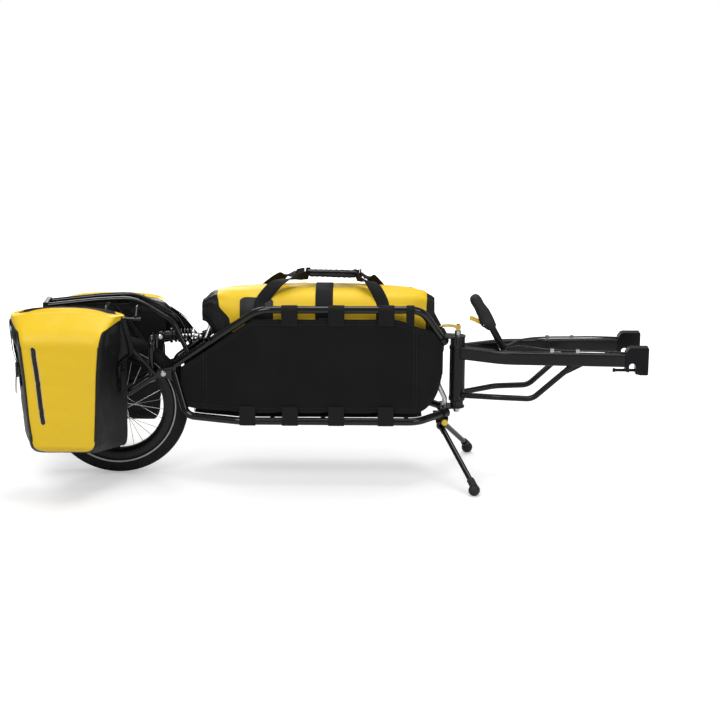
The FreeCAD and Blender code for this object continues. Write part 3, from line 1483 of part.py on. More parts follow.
def make_stand_bracket():
    """Plate under the steering plate with a central lug for the yoke and an ear for the knob."""
    top_z = rail_low_z - hoop_r - 3.2 - weld_gap
    web = box(V(stand_x - 20, -stand_half - 5, top_z - 4), V(stand_x + 21, stand_half + 5, top_z))
    lug = plate([V(stand_x - 16, -stand_lug_half, top_z - 2), V(stand_x - 10, -stand_lug_half, stand_z - 9),
                 V(stand_x - 5, -stand_lug_half, stand_z - 13), V(stand_x + 5, -stand_lug_half, stand_z - 13),
                 V(stand_x + 12, -stand_lug_half, stand_z - 6), V(stand_x + 16, -stand_lug_half, top_z - 2)],
                V(0, 2 * stand_lug_half, 0))
    ear_y = -stand_half - 1.0
    ear = box(V(stand_x + 1, ear_y - 4, stand_z + 9), V(stand_x + 20, ear_y, top_z - 1))
    shape = web.fuse(lug).fuse(ear)
    shape = shape.cut(cylinder(V(stand_x, -80, stand_z), V(stand_x, 80, stand_z), stand_pin_r + run_gap))
    return shape.cut(cylinder(index_point(-80), index_point(0), index_pin_r + run_gap))


def leg_points(side):
    return [V(stand_x, side * (stand_half - 6), stand_z), V(foot_x, side * foot_half, foot_r + 8)]


def make_stand_legs():
    """Forked yoke with an index lobe on its right cheek and two splayed legs."""
    yoke = None
    for side in SIDES:
        cheek = cylinder(V(stand_x, side * (stand_lug_half + 0.3), stand_z),
                         V(stand_x, side * stand_half, stand_z), 12.0)
        leg = tube(leg_points(side), leg_r, 0, 0)
        piece = cheek.fuse(leg)
        yoke = piece if yoke is None else yoke.fuse(piece)
    tie = box(V(stand_x + 4, -stand_half, stand_z - 25), V(stand_x + 15, stand_half, stand_z - 14.5))
    for side in SIDES:
        low_y = min(side * (stand_lug_half + 0.3), side * stand_half)
        web = plate([V(stand_x - 6, low_y, stand_z - 6), V(stand_x + 4, low_y, stand_z - 25),
                     V(stand_x + 15, low_y, stand_z - 25), V(stand_x + 11.5, low_y, stand_z)],
                    V(0, stand_half - stand_lug_half - 0.3, 0))
        yoke = yoke.fuse(web)
    yoke = yoke.fuse(tie)
    lobe = cylinder(index_point(-stand_lug_half - 0.3), index_point(-stand_half), 5.8)
    lobe = lobe.fuse(plate([V(stand_x - 8, -stand_half, stand_z + 6),
                            V(stand_x + 8, -stand_half, stand_z + 18),
                            V(stand_x + 15, -stand_half, stand_z + 12),
                            V(stand_x + 12, -stand_half, stand_z)],
                           V(0, stand_half - stand_lug_half - 0.3, 0)))
    yoke = yoke.fuse(lobe)
    end = stand_half - 0.3
    yoke = yoke.cut(cylinder(V(stand_x, -end, stand_z), V(stand_x, end, stand_z), stand_pin_r + run_gap))
    return yoke.cut(cylinder(index_point(-80), index_point(-10), index_pin_r + run_gap))


def make_feet():
    """Rubber feet on the leg ends, flat where they stand."""
    feet = []
    for side in SIDES:
        top, end = leg_points(side)
        direction = (end - top).normalize()
        centre = V(foot_x, side * foot_half, foot_r - 0.8)
        bulb = Part.makeSphere(foot_r, centre)
        collar = cylinder(end - direction * 26, end, leg_r + 3.0)
        foot = bulb.fuse(collar)
        foot = foot.cut(tube([top, end], leg_r + run_gap, 0, 0))
        foot = foot.cut(box(V(foot_x - 60, side * foot_half - 60, -10),
                            V(foot_x + 60, side * foot_half + 60, 0)))
        feet.append(foot)
    return feet


def make_stand_knob():
    """Spring-loaded index knob outside the right ear, its pin ending just short of the lobe."""
    seat_y = stand_half + 5.1
    centre = index_point(-seat_y)
    knob = turned([(-13, knob_r - 3), (-11.5, knob_r), (-3.5, knob_r), (-2.5, 6.0), (0, 6.0)], centre, "Y")
    pin = cylinder(centre, index_point(-stand_half - seat_gap), index_pin_r)
    return knob.fuse(pin)


def make_stand_pin():
    end = stand_half - 0.5
    return cylinder(V(stand_x, -end, stand_z), V(stand_x, end, stand_z), stand_pin_r)


os.makedirs("parts", exist_ok=True)

put(make_hoop(RIGHT), "side_hoop_right")
put(make_hoop(LEFT), "side_hoop_left")
put(make_cross_tubes(), "frame_cross_tubes")
put(make_lug(True), "steering_plate_upper")
put(make_lug(False), "steering_plate_lower")
put(make_upright(), "front_upright")
put(make_cloth_side(RIGHT), "sling_side_right")
put(make_cloth_side(LEFT), "sling_side_left")
put(make_cloth_floor(), "sling_floor")
put(make_bands(), "sling_bands")
put(make_arches(), "rack_arches")
put(make_crossbars(), "rack_crossbars")
put(make_side_rails(), "rack_side_rails")
put(make_end_block(), "rack_end_block")
put(make_pannier(RIGHT, pannier_x, 0.0), "pannier_right")
put(make_pannier(LEFT, pannier_x + pannier_left_shift, pannier_left_drop), "pannier_left")
put(make_pannier_hooks(), "pannier_hooks")
put(make_duffel(), "duffel_body")
put(make_duffel_straps(), "duffel_straps")
put(make_duffel_grip(), "duffel_grip")
put(make_buckles(), "strap_buckles")
put(make_swing_arms(), "swingarm_arms")
put(make_swing_arch(), "swingarm_arch")
put(make_dropouts(), "swingarm_dropouts")
put(make_swing_bushes(), "swingarm_bushes")
put(make_pivot_bolts(), "pivot_bolts")
put(bolt_y(shock_rear_x, shock_z, -11.7, 11.7, shock_bolt_r), "shock_rear_bolt")
put(make_shock_body(), "shock_body")
put(make_shock_shaft(), "shock_shaft")
put(make_shock_collar(), "shock_collar")
put(make_spring(), "shock_spring")
put(make_tyre(), "wheel_tyre")
put(make_rim(), "wheel_rim")
put(make_inner_tube(), "wheel_inner_tube")
put(make_hub(), "wheel_hub")
put(make_bearings(), "wheel_bearings")
put(make_axle(), "wheel_axle")
put(make_skewer(), "wheel_skewer")
put(make_wheel_lever(), "wheel_lever")
put(make_spokes(), "wheel_spokes")
put(make_fork_head(), "fork_head")
put(make_head_bushes(), "head_bushes")
put(make_head_axle(), "head_axle")
put(make_head_lever(), "head_lever")
put(make_arm(RIGHT), "fork_arm_right")
put(make_arm(LEFT), "fork_arm_left")
put(make_lower_tubes(), "fork_lower_tubes")
put(make_bridge(), "fork_bridge")
put(make_grip(), "handle_grip")
put(make_trigger(), "handle_trigger")
put(make_trigger_pin(), "trigger_pin")
put(make_blocks(), "hitch_blocks")
put(make_lock_pins(), "lock_pins")
put(make_cables(), "release_cables")
put(make_cable_clips(), "cable_clips")
put(make_stand_bracket(), "kickstand_bracket")
put(make_stand_pin(), "kickstand_pin")
put(make_stand_legs(), "kickstand_legs")
put(make_feet(), "kickstand_feet")
put(make_stand_knob(), "kickstand_knob")
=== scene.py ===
import bpy
from math import atan2, copysign, cos, exp, hypot, pi, radians, sin, sqrt, tan
from mathutils import Matrix, Vector, noise


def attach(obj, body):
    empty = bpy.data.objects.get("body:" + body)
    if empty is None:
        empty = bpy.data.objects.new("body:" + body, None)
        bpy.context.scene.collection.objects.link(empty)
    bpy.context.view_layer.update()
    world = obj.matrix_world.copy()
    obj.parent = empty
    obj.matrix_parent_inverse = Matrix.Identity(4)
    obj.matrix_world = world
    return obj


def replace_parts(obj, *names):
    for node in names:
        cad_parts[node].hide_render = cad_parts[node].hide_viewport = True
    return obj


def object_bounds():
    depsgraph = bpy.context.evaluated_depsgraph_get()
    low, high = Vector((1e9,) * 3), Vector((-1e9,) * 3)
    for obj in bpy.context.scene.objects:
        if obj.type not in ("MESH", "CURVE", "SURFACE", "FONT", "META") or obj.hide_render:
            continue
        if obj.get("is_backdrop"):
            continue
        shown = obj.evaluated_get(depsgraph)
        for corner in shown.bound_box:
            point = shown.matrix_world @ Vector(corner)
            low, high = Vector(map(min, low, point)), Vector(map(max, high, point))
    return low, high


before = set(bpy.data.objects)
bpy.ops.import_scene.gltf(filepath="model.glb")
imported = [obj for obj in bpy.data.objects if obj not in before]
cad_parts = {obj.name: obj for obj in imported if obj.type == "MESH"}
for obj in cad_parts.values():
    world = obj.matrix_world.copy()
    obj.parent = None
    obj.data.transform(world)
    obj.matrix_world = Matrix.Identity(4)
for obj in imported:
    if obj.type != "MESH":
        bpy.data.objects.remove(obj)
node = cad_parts


def V(x, y, z):
    return Vector((x, y, z))


def plain(value):
    """Bounds as plain lists of numbers."""
    if isinstance(value, dict):
        return {k: plain(v) for k, v in value.items()}
    if hasattr(value, "__len__") and not isinstance(value, str):
        return [plain(v) for v in value]
    return float(value)


first_bounds = plain(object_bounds())

WHEEL = V(-0.5995, 0.0, 0.199)

# Materials


class Shade:
    """A principled material with helpers for its texture nodes."""

    def __init__(self, name, colour, rough, metallic=0.0, coat=0.0, sheen=0.0, specular=0.5):
        self.mat = bpy.data.materials.new(name)
        self.mat.use_nodes = True
        self.tree = self.mat.node_tree
        self.bsdf = self.tree.nodes["Principled BSDF"]
        self.set("Base Color", (*colour, 1.0))
        self.set("Roughness", rough)
        self.set("Metallic", metallic)
        self.set("Coat Weight", coat)
        self.set("Coat Roughness", 0.12)
        self.set("Sheen Weight", sheen)
        self.set("Sheen Roughness", 0.45)
        self.set("Specular IOR Level", specular)
        self.colour = colour
        self.height = None

    def set(self, socket, value):
        self.bsdf.inputs[socket].default_value = value

    def add(self, kind, operation=None):
        n = self.tree.nodes.new("ShaderNode" + kind)
        if operation:
            n.operation = operation
        return n

    def link(self, a, b):
        self.tree.links.new(a, b)

    def feed(self, n, *pairs):
        """Sets or links a node's inputs, from pairs of input and value."""
        for key, value in pairs:
            if isinstance(value, bpy.types.NodeSocket):
                self.link(value, n.inputs[key])
            else:
                n.inputs[key].default_value = (*value, 1.0) if isinstance(value, tuple) else value
        return n

    def coords(self, kind):
        return self.add("TexCoord").outputs[kind]

    def axes(self, vector):
        split = self.add("SeparateXYZ")
        self.link(vector, split.inputs[0])
        return split.outputs

    def noise(self, scale, detail=3.0, stretch=(1, 1, 1), rough=0.55):
        m = self.add("Mapping")
        m.inputs["Scale"].default_value = stretch
        self.link(self.coords("Object"), m.inputs["Vector"])
        n = self.feed(self.add("TexNoise"), ("Scale", scale), ("Detail", detail), ("Roughness", rough),
                      ("Vector", m.outputs["Vector"]))
        return n.outputs["Fac"]

    def math(self, operation, *values):
        return self.feed(self.add("Math", operation), *enumerate(values)).outputs[0]

    def remap(self, value, low, high, to_low, to_high):
        return self.feed(self.add("MapRange"), ("From Min", low), ("From Max", high), ("To Min", to_low),
                         ("To Max", to_high), ("Value", value)).outputs["Result"]

    def mix_colour(self, factor, first, second):
        n = self.add("Mix")
        n.data_type = "RGBA"
        return self.feed(n, (0, factor), (6, first), (7, second)).outputs[2]

    def cover(self, colour):
        self.link(colour, self.bsdf.inputs["Base Color"])

    def bump(self, height, distance, strength=1.0):
        n = self.feed(self.add("Bump"), ("Strength", strength), ("Distance", distance), ("Height", height))
        if self.height is not None:
            self.link(self.height, n.inputs["Normal"])
        self.height = n.outputs["Normal"]
        self.link(self.height, self.bsdf.inputs["Normal"])

    def vary_rough(self, scale, low, high, stretch=(1, 1, 1), detail=4.0):
        self.link(self.remap(self.noise(scale, detail, stretch), 0.35, 0.65, low, high),
                  self.bsdf.inputs["Roughness"])

    def dust(self, tint, amount, scale=18.0):
        """Faint patches of dust over the base colour."""
        patches = self.remap(self.noise(scale, 6.0, rough=0.65), 0.42, 0.72, 0.0, amount)
        self.cover(self.mix_colour(patches, self.colour, tint))

    def edge_wear(self, tint, amount):
        """Lighter, worn convex edges."""
        edge = self.remap(self.add("NewGeometry").outputs["Pointiness"], 0.56, 0.66, 0.0, amount)
        broken = self.math("MULTIPLY", edge, self.remap(self.noise(240.0, 4.0), 0.40, 0.62, 0.0, 1.0))
        self.cover(self.mix_colour(broken, self.colour, tint))


def paint(name, colour, rough, coat):
    s = Shade(name, colour, rough, coat=coat, specular=0.28)
    s.vary_rough(22.0, rough * 0.85, rough * 1.2)
    s.bump(s.noise(60.0, 2.0), 0.00004, 0.2)
    s.edge_wear((0.10, 0.10, 0.11), 0.15)
    return s.mat


def metal(name, colour, rough, stretch=(1, 1, 1), grain=500.0):
    s = Shade(name, colour, rough, metallic=1.0)
    s.vary_rough(grain, rough * 0.75, rough * 1.3, stretch, 2.0)
    s.bump(s.noise(grain, 2.0, stretch), 0.00003, 0.4)
    s.dust(tuple(c * 0.72 for c in colour), 0.5, 30.0)
    return s.mat


def moulded(name, colour, rough, grain=1600.0, depth=0.00008):
    s = Shade(name, colour, rough)
    s.bump(s.noise(grain, 2.0), depth, 0.6)
    s.vary_rough(35.0, rough * 0.85, min(1.0, rough * 1.2))
    s.dust(tuple(min(1.0, c * 1.6 + 0.01) for c in colour), 0.35)
    return s.mat


def waves(s, axis, pitch):
    """Sine ridges across one UV direction, pitch in metres."""
    return s.math("SINE", s.math("MULTIPLY", s.axes(s.coords("UV"))[axis], 2 * pi / pitch))


def woven(name, colour, pitch=0.0011, sheen=0.05, rough=0.85, rip=0.0):
    """Plain weave: warp and weft yarns over and under, with an optional heavier grid, and painted shade that
    darkens the cloth where the weave dips.
    """
    s = Shade(name, colour, rough, sheen=sheen, specular=0.18)
    warp = waves(s, 0, pitch)
    weft = waves(s, 1, pitch)
    both = s.math("MULTIPLY", warp, weft)
    s.bump(both, pitch * 0.16, 0.55)
    if rip:
        grid = s.math("MAXIMUM", s.math("ABSOLUTE", waves(s, 0, rip)), s.math("ABSOLUTE", waves(s, 1, rip)))
        s.bump(s.remap(grid, 0.985, 1.0, 0.0, 1.0), pitch * 0.25, 0.5)
    # Painted shade: the colour follows the weave's bump height, darker where the yarns dip and lighter on the
    # raised crossings; patchy is random tone.
    thread_shade = s.remap(both, -1.0, 1.0, 0.75, 1.25)
    patchy = s.remap(s.noise(9.0, 5.0), 0.3, 0.7, 0.85, 1.2)
    tone = s.math("MULTIPLY", thread_shade, patchy)
    dark = tuple(c * 0.6 for c in colour)
    light = tuple(c * 1.45 for c in colour)
    s.cover(s.mix_colour(s.remap(tone, 0.6, 1.5, 0.0, 1.0), dark, light))
    s.bump(s.noise(140.0, 4.0), 0.0003, 0.25)
    return s.mat


def webbing(name, colour):
    """Narrow woven strap: herringbone ribs along its length and a firm edge, with painted shade in the rib
    troughs.
    """
    s = Shade(name, colour, 0.70, sheen=0.02, specular=0.2)
    u, v, _ = s.axes(s.coords("UV"))
    fold = s.math("ABSOLUTE", s.math("SINE", s.math("MULTIPLY", u, pi / 0.006)))
    along = s.math("MULTIPLY", v, 2 * pi / 0.0016)
    ribs = s.math("SINE", s.math("ADD", along, s.math("MULTIPLY", fold, 2.2)))
    s.bump(ribs, 0.00022, 0.7)
    # Painted shade: the strap is darker in the rib troughs and lighter on the rib crests, following the same
    # ribs as the bump.
    tone = s.remap(ribs, -1.0, 1.0, 0.0, 1.0)
    s.link(s.mix_colour(tone, tuple(c * 0.6 for c in colour), tuple(c * 1.5 for c in colour)),
           s.bsdf.inputs["Base Color"])
    return s.mat


def tarpaulin(name, colour, tint, rough=0.42, second=None):
    """Coated fabric: smooth skin, a faint scrim under it and slight soiling.

    A second colour takes over where the mesh's tone attribute is above zero."""
    s = Shade(name, colour, rough, coat=0.08, specular=0.25)
    s.set("Coat Roughness", 0.35)
    scrim = s.math("MULTIPLY", waves(s, 0, 0.0016), waves(s, 1, 0.0016))
    s.bump(scrim, 0.00007, 0.35)
    s.bump(s.noise(70.0, 5.0), 0.0009, 0.22)
    s.bump(s.noise(16.0, 3.0), 0.004, 0.18)
    s.vary_rough(14.0, rough * 0.85, rough * 1.25)
    patches = s.remap(s.noise(7.0, 6.0, rough=0.65), 0.42, 0.72, 0.0, 0.35)
    base = s.mix_colour(patches, colour, tint)
    if second:
        tone = s.add("Attribute")
        tone.attribute_name = "tone"
        over = s.remap(tone.outputs["Fac"], -0.0002, 0.0002, 0.0, 1.0)
        dark = s.mix_colour(patches, second, tuple(c * 1.5 for c in second))
        base = s.mix_colour(over, base, dark)
        near = s.math("ABSOLUTE", tone.outputs["Fac"])
        s.bump(s.remap(near, 0.0, 0.0016, 0.0, 1.0), 0.0006, 0.6)
    s.cover(base)
    return s.mat


def tread(name):
    """Tyre rubber with shoulder blocks, a pale sidewall stripe and fine ribs."""
    s = Shade(name, (0.008, 0.008, 0.009), 0.72, specular=0.2)
    shift = s.add("VectorMath", "SUBTRACT")
    s.link(s.coords("Object"), shift.inputs[0])
    shift.inputs[1].default_value = WHEEL
    x, y, z = s.axes(shift.outputs[0])
    angle = s.math("ARCTAN2", z, x)
    radius = s.math("SQRT", s.math("ADD", s.math("MULTIPLY", x, x), s.math("MULTIPLY", z, z)))
    side = s.math("ABSOLUTE", y)
    slant = s.math("ADD", s.math("MULTIPLY", angle, 64.0), s.math("MULTIPLY", side, 420.0))
    blocks = s.remap(s.math("SINE", slant), -0.25, 0.1, 0.0, 1.0)
    shoulder = s.math("MULTIPLY", s.remap(side, 0.0095, 0.0105, 0.0, 1.0),
                      s.remap(radius, 0.180, 0.183, 0.0, 1.0))
    s.bump(s.math("MULTIPLY", blocks, shoulder), 0.0016, 0.9)
    ribs = s.math("SINE", s.math("MULTIPLY", angle, 720.0))
    s.bump(s.math("MULTIPLY", ribs, s.remap(radius, 0.183, 0.180, 0.0, 1.0)), 0.00012, 0.5)
    s.bump(s.noise(900.0, 2.0), 0.0001, 0.5)
    inner = s.remap(radius, 0.1625, 0.1632, 0.0, 1.0)
    outer = s.remap(radius, 0.1668, 0.1661, 0.0, 1.0)
    stripe = s.math("MULTIPLY", s.math("MULTIPLY", inner, outer), s.remap(side, 0.012, 0.0125, 0.0, 1.0))
    base = s.mix_colour(s.remap(s.noise(25.0, 5.0), 0.4, 0.7, 0.0, 0.5), (0.007, 0.007, 0.008),
                        (0.018, 0.018, 0.017))
    s.cover(s.mix_colour(stripe, base, (0.42, 0.43, 0.44)))
    return s.mat


black_paint = paint("black_paint", (0.003, 0.003, 0.0034), 0.18, 0.35)
satin_paint = paint("satin_paint", (0.0035, 0.0035, 0.004), 0.30, 0.12)
black_alloy = metal("black_alloy", (0.022, 0.022, 0.024), 0.36)
gold_alloy = metal("gold_alloy", (0.72, 0.50, 0.10), 0.26)
steel = metal("steel", (0.62, 0.62, 0.63), 0.24)
alloy = metal("alloy", (0.74, 0.74, 0.75), 0.3)
spoke_steel = metal("spoke_steel", (0.70, 0.70, 0.71), 0.18)
tyre_mat = tread("tyre_rubber")
rubber = moulded("rubber", (0.008, 0.008, 0.009), 0.66, 900.0, 0.00012)
plastic = moulded("plastic", (0.008, 0.008, 0.009), 0.45)
yellow_plastic = moulded("yellow_plastic", (0.72, 0.47, 0.035), 0.35)
nylon = woven("nylon", (0.0075, 0.0075, 0.0085), 0.0012, sheen=0.02, rip=0.006)
strap_mat = webbing("webbing", (0.008, 0.008, 0.009))
two_tone = tarpaulin("two_tone_bag", (0.88, 0.585, 0.020), (0.76, 0.50, 0.035), 0.45, (0.009, 0.009, 0.010))
black_bag = tarpaulin("black_bag", (0.007, 0.007, 0.008), (0.014, 0.014, 0.013), 0.5)
grey_bag = tarpaulin("grey_bag", (0.013, 0.014, 0.016), (0.022, 0.022, 0.023), 0.55)
pale_weld = tarpaulin("pale_weld", (0.74, 0.56, 0.16), (0.62, 0.46, 0.12), 0.35)
thread_mat = moulded("thread", (0.028, 0.028, 0.030), 0.7, 3000.0, 0.00005)
zip_mat = moulded("zip_black", (0.008, 0.008, 0.009), 0.3)

paints = (
    (black_paint, 
     "side_hoop_right side_hoop_left frame_cross_tubes rack_arches rack_crossbars "
     "rack_side_rails swingarm_arms swingarm_arch swingarm_dropouts shock_spring "
     "kickstand_legs"),
    (satin_paint, 
     "steering_plate_upper steering_plate_lower kickstand_bracket wheel_rim fork_head "
     "fork_arm_right fork_arm_left fork_lower_tubes fork_bridge"),
    (alloy, "front_upright wheel_lever"),
    (plastic, 
     "rack_end_block pannier_hooks strap_buckles swingarm_bushes head_bushes "
     "release_cables"),
    (steel, 
     "pivot_bolts kickstand_pin head_axle shock_rear_bolt wheel_axle wheel_skewer "
     "shock_shaft wheel_bearings trigger_pin cable_clips"),
    (black_alloy, "shock_body shock_collar wheel_hub hitch_blocks lock_pins"),
    (tyre_mat, "wheel_tyre"),
    (rubber, "wheel_inner_tube handle_grip kickstand_feet"),
    (spoke_steel, "wheel_spokes"),
    (gold_alloy, "head_lever"),
    (yellow_plastic, "handle_trigger kickstand_knob"),
)
for mat, names in paints:
    for name in names.split():
        node[name].data.materials.clear()
        node[name].data.materials.append(mat)

# Mesh helpers


def lerp(a, b, t):
    return a + (b - a) * t


def span(a, b, steps):
    """Evenly spaced values from a to b."""
    return [lerp(a, b, i / steps) for i in range(steps + 1)]


def place(name, data):
    """New object in the scene."""
    obj = bpy.data.objects.new(name, data)
    bpy.context.scene.collection.objects.link(obj)
    return obj


def smooth(t):
    t = max(0.0, min(1.0, t))
    return t * t * (3 - 2 * t)


def line(pairs, x, ease=float):
    """Interpolation through (x, value) pairs, straight or eased between them."""
    if x <= pairs[0][0]:
        return pairs[0][1]
    for (x0, v0), (x1, v1) in zip(pairs, pairs[1:]):
        if x <= x1:
            return lerp(v0, v1, ease((x - x0) / (x1 - x0)))
    return pairs[-1][1]


def wrinkle(point, scale, seed):
    """Smooth noise from -1 to 1."""
    return noise.noise(Vector(point) * scale + V(seed, seed * 2.3, seed * 5.1))


def make(name, verts, faces, mats, uvs=None, tones=None, sharp=40.0, body="chassis", slot=None):
    me = bpy.data.meshes.new(name)
    me.from_pydata([tuple(v) for v in verts], [], faces)
    me.validate()
    for mat in mats:
        me.materials.append(mat)
    if uvs is not None:
        layer = me.uv_layers.new(name="UVMap")
        for poly in me.polygons:
            for loop, vert in zip(poly.loop_indices, poly.vertices):
                layer.data[loop].uv = uvs[vert]
    if tones is not None:
        layer = me.attributes.new("tone", "FLOAT", "POINT")
        layer.data.foreach_set("value", tones)
    for poly in me.polygons:
        poly.use_smooth = True
    me.update()
    me.set_sharp_from_angle(angle=radians(sharp))
    obj = place(name, me)
    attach(obj, body)
    return obj


def loft_data(loops, cap=True):
    """Vertices, faces and UVs, in metres, of closed loops joined in order."""
    n = len(loops[0])
    verts, uvs, faces = [], [], []
    v = 0.0
    last = None
    for loop in loops:
        centre = sum((Vector(p) for p in loop), Vector()) / n
        if last is not None:
            v += max((centre - last).length, 1e-5)
        last = centre
        u = 0.0
        for j, p in enumerate(loop):
            if j:
                u += (Vector(p) - Vector(loop[j - 1])).length
            verts.append(Vector(p))
            uvs.append((u, v))
    for i in range(len(loops) - 1):
        for j in range(n):
            k = (j + 1) % n
            faces.append((i * n + j, i * n + k, (i + 1) * n + k, (i + 1) * n + j))
    if cap:
        faces.append(tuple(range(n - 1, -1, -1)))
        faces.append(tuple((len(loops) - 1) * n + j for j in range(n)))
    return verts, faces, uvs


def loft(name, loops, mats, cap=True, **more):
    verts, faces, uvs = loft_data(loops, cap)
    return make(name, verts, faces, mats, uvs, **more)


def heading(path, i):
    """Unit direction of a path at one of its points."""
    return (Vector(path[min(i + 1, len(path) - 1)]) - Vector(path[max(i - 1, 0)])).normalized()


def cord_data(points, radius, sides=8):
    """Loops of a round cord along points."""
    loops = []
    for i, p in enumerate(points):
        along = heading(points, i)
        ref = V(0, 0, 1) if abs(along.z) < 0.9 else V(1, 0, 0)
        side = along.cross(ref).normalized()
        up = side.cross(along)
        loops.append([Vector(p) + side * radius * cos(t) + up * radius * sin(t)
                      for t in (2 * pi * k / sides for k in range(sides))])
    return loops


class Bundle:
    """Many small pieces gathered in one mesh."""

    def __init__(self):
        self.verts, self.faces, self.uvs = [], [], []

    def add(self, verts, faces, uvs=None):
        base = len(self.verts)
        self.verts += verts
        self.uvs += uvs if uvs is not None else [(v.x, v.z) for v in map(Vector, verts)]
        self.faces += [tuple(base + i for i in f) for f in faces]

    def cord(self, points, radius, sides=8):
        self.add(*loft_data(cord_data(points, radius, sides)))

    def block(self, centre, a, b, c):
        """Block about a centre with three half edges."""
        corners = [Vector(centre) + a * i + b * j + c * k for i in (-1, 1) for j in (-1, 1) for k in (-1, 1)]
        self.add(corners, [(0, 1, 3, 2), (4, 6, 7, 5), (0, 4, 5, 1),
                           (2, 3, 7, 6), (0, 2, 6, 4), (1, 5, 7, 3)])

    def stitches(self, path, outward, pitch=0.0042, length=0.0030, radius=0.00042):
        """Short raised stitches along a path of points, outward gives the cloth's normal at each."""
        gone = 0.0
        for i in range(len(path) - 1):
            a, b = Vector(path[i]), Vector(path[i + 1])
            run = (b - a).length
            if run < 1e-7:
                continue
            along = (b - a) / run
            out = Vector(outward[i]).normalized()
            side = along.cross(out)
            while gone < run:
                c = a + along * gone + out * radius * 0.7
                half = along * length / 2
                tip = along * length * 0.28
                loops = []
                for offset, r in ((-half, 0.35), (-tip, 1.0), (tip, 1.0), (half, 0.35)):
                    loops.append([c + offset + (side * cos(t) + out * sin(t)) * radius * r
                                  for t in (pi * k / 3 for k in range(6))])
                self.add(*loft_data(loops))
                gone += pitch
            gone -= run

    def finish(self, name, mat, **more):
        return make(name, self.verts, self.faces, [mat], self.uvs, **more)


# Sling: the side panels, floor and bands inside the two hoops

RAIL_TOP, RAIL_LOW, TUBE = 0.502, 0.187, 0.0105
BANDS = (-0.110, 0.017, 0.153)
TOP_PLAN = [(-0.440, 0.037), (-0.194, 0.120), (0.248, 0.112), (0.314, 0.026)]
LOW_PLAN = [(-0.440, 0.037), (-0.400, 0.070), (-0.250, 0.120), (0.240, 0.120), (0.322, 0.026)]


def plan(x, top):
    pairs = TOP_PLAN if top else LOW_PLAN
    return sum(line(pairs, x + dx) for dx in (-0.012, -0.006, 0.0, 0.006, 0.012)) / 5


def eased(pairs, x, reach):
    """Straight interpolation averaged over a reach either side, for bowed edges."""
    return sum(line(pairs, x + reach * k / 3) for k in range(-3, 4)) / 7


def panel_top(x):
    rear = 0.319 - 0.017 + (x + 0.440) * 0.744
    front = eased([(0.180, 0.474), (0.215, 0.463), (0.262, 0.443), (0.290, 0.424), (0.306, 0.404),
                   (0.330, 0.350)],
                  x, 0.010)
    return min(0.474, rear, front)


def panel_low(x):
    rear = 0.319 + 0.004 - (x + 0.440) * 3.30
    front = eased([(0.240, 0.209), (0.268, 0.217), (0.292, 0.238), (0.306, 0.272), (0.330, 0.400)], x, 0.008)
    return max(0.209 + 0.0025 * cos(x * 46.0), rear, front)


def panel_y(x, z):
    t = (z - RAIL_LOW) / (RAIL_TOP - RAIL_LOW)
    y = lerp(plan(x, False), plan(x, True), max(0.0, min(1.0, t))) - 0.0022
    low, top = panel_low(x), panel_top(x)
    s = (z - low) / max(top - low, 0.01)
    y += 0.0035 * sin(pi * max(0, min(1, s))) * smooth((x + 0.42) / 0.1)
    y -= 0.0011 * wrinkle((x, 0, z), 16.0, 1.7) + 0.0016 * wrinkle((x * 2.2, 0, z * 0.6), 7.0, 4.1)
    for band in BANDS:
        d = (x - band) / 0.035
        y -= 0.0016 * exp(-d * d) * (0.3 + 0.7 * abs(2 * s - 1))
    return y


def side_panel(side, name):
    loops = []
    steps, high = 150, 44
    x0, x1 = -0.4155, 0.312
    for i in range(steps + 1):
        x = lerp(x0, x1, i / steps)
        low, top = panel_low(x), panel_top(x)
        outer, inner = [], []
        for j in range(high + 1):
            s = j / high
            z = lerp(low, top, s)
            y = panel_y(x, z)
            hem = 0.0004 if min(s, 1 - s) * (top - low) < 0.016 else 0.0
            outer.append(V(x, side * (y + hem), z))
            inner.append(V(x, side * (y - 0.0020 - hem), z))
        loops.append(outer + inner[::-1])
    return loft(name, loops, [nylon], slot="sling_cloth")


sewing = Bundle()


def panel_seams(side):
    """Twin stitch rows along the hems and the vertical seams, with their raised fells."""
    fells = Bundle()

    def on_panel(x, z, lift):
        return V(x, side * (panel_y(x, z) + lift), z)

    def sew(path):
        sewing.stitches(path, [(0, side, 0)] * len(path))

    for edge in (0.006, 0.0135):
        for top in (True, False):
            sew([on_panel(x, panel_top(x) - edge if top else panel_low(x) + edge, 0.0005)
                 for x in span(-0.408, 0.306, 140)])
    for seam_x in (-0.345, 0.232):
        low, top = panel_low(seam_x), panel_top(seam_x)
        for dx in (-0.004, 0.004):
            sew([on_panel(seam_x + dx, z, 0.0008)
                 for z in span(low + 0.004, top - 0.004, 40)])
        profile = ((-0.007, -0.0004), (-0.0062, 0.0007), (0.0062, 0.0007), (0.007, -0.0004))
        fells.add(*loft_data([[on_panel(seam_x + dx, z, dy) for dx, dy in profile]
                              for z in span(low + 0.002, top - 0.002, 40)]))
    return fells


for side, tag in ((-1, "right"), (1, "left")):
    panel = side_panel(side, "sling_panel_" + tag)
    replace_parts(panel, "sling_side_" + tag)
    panel_seams(side).finish("sling_seams_" + tag, nylon, slot="sling_cloth")


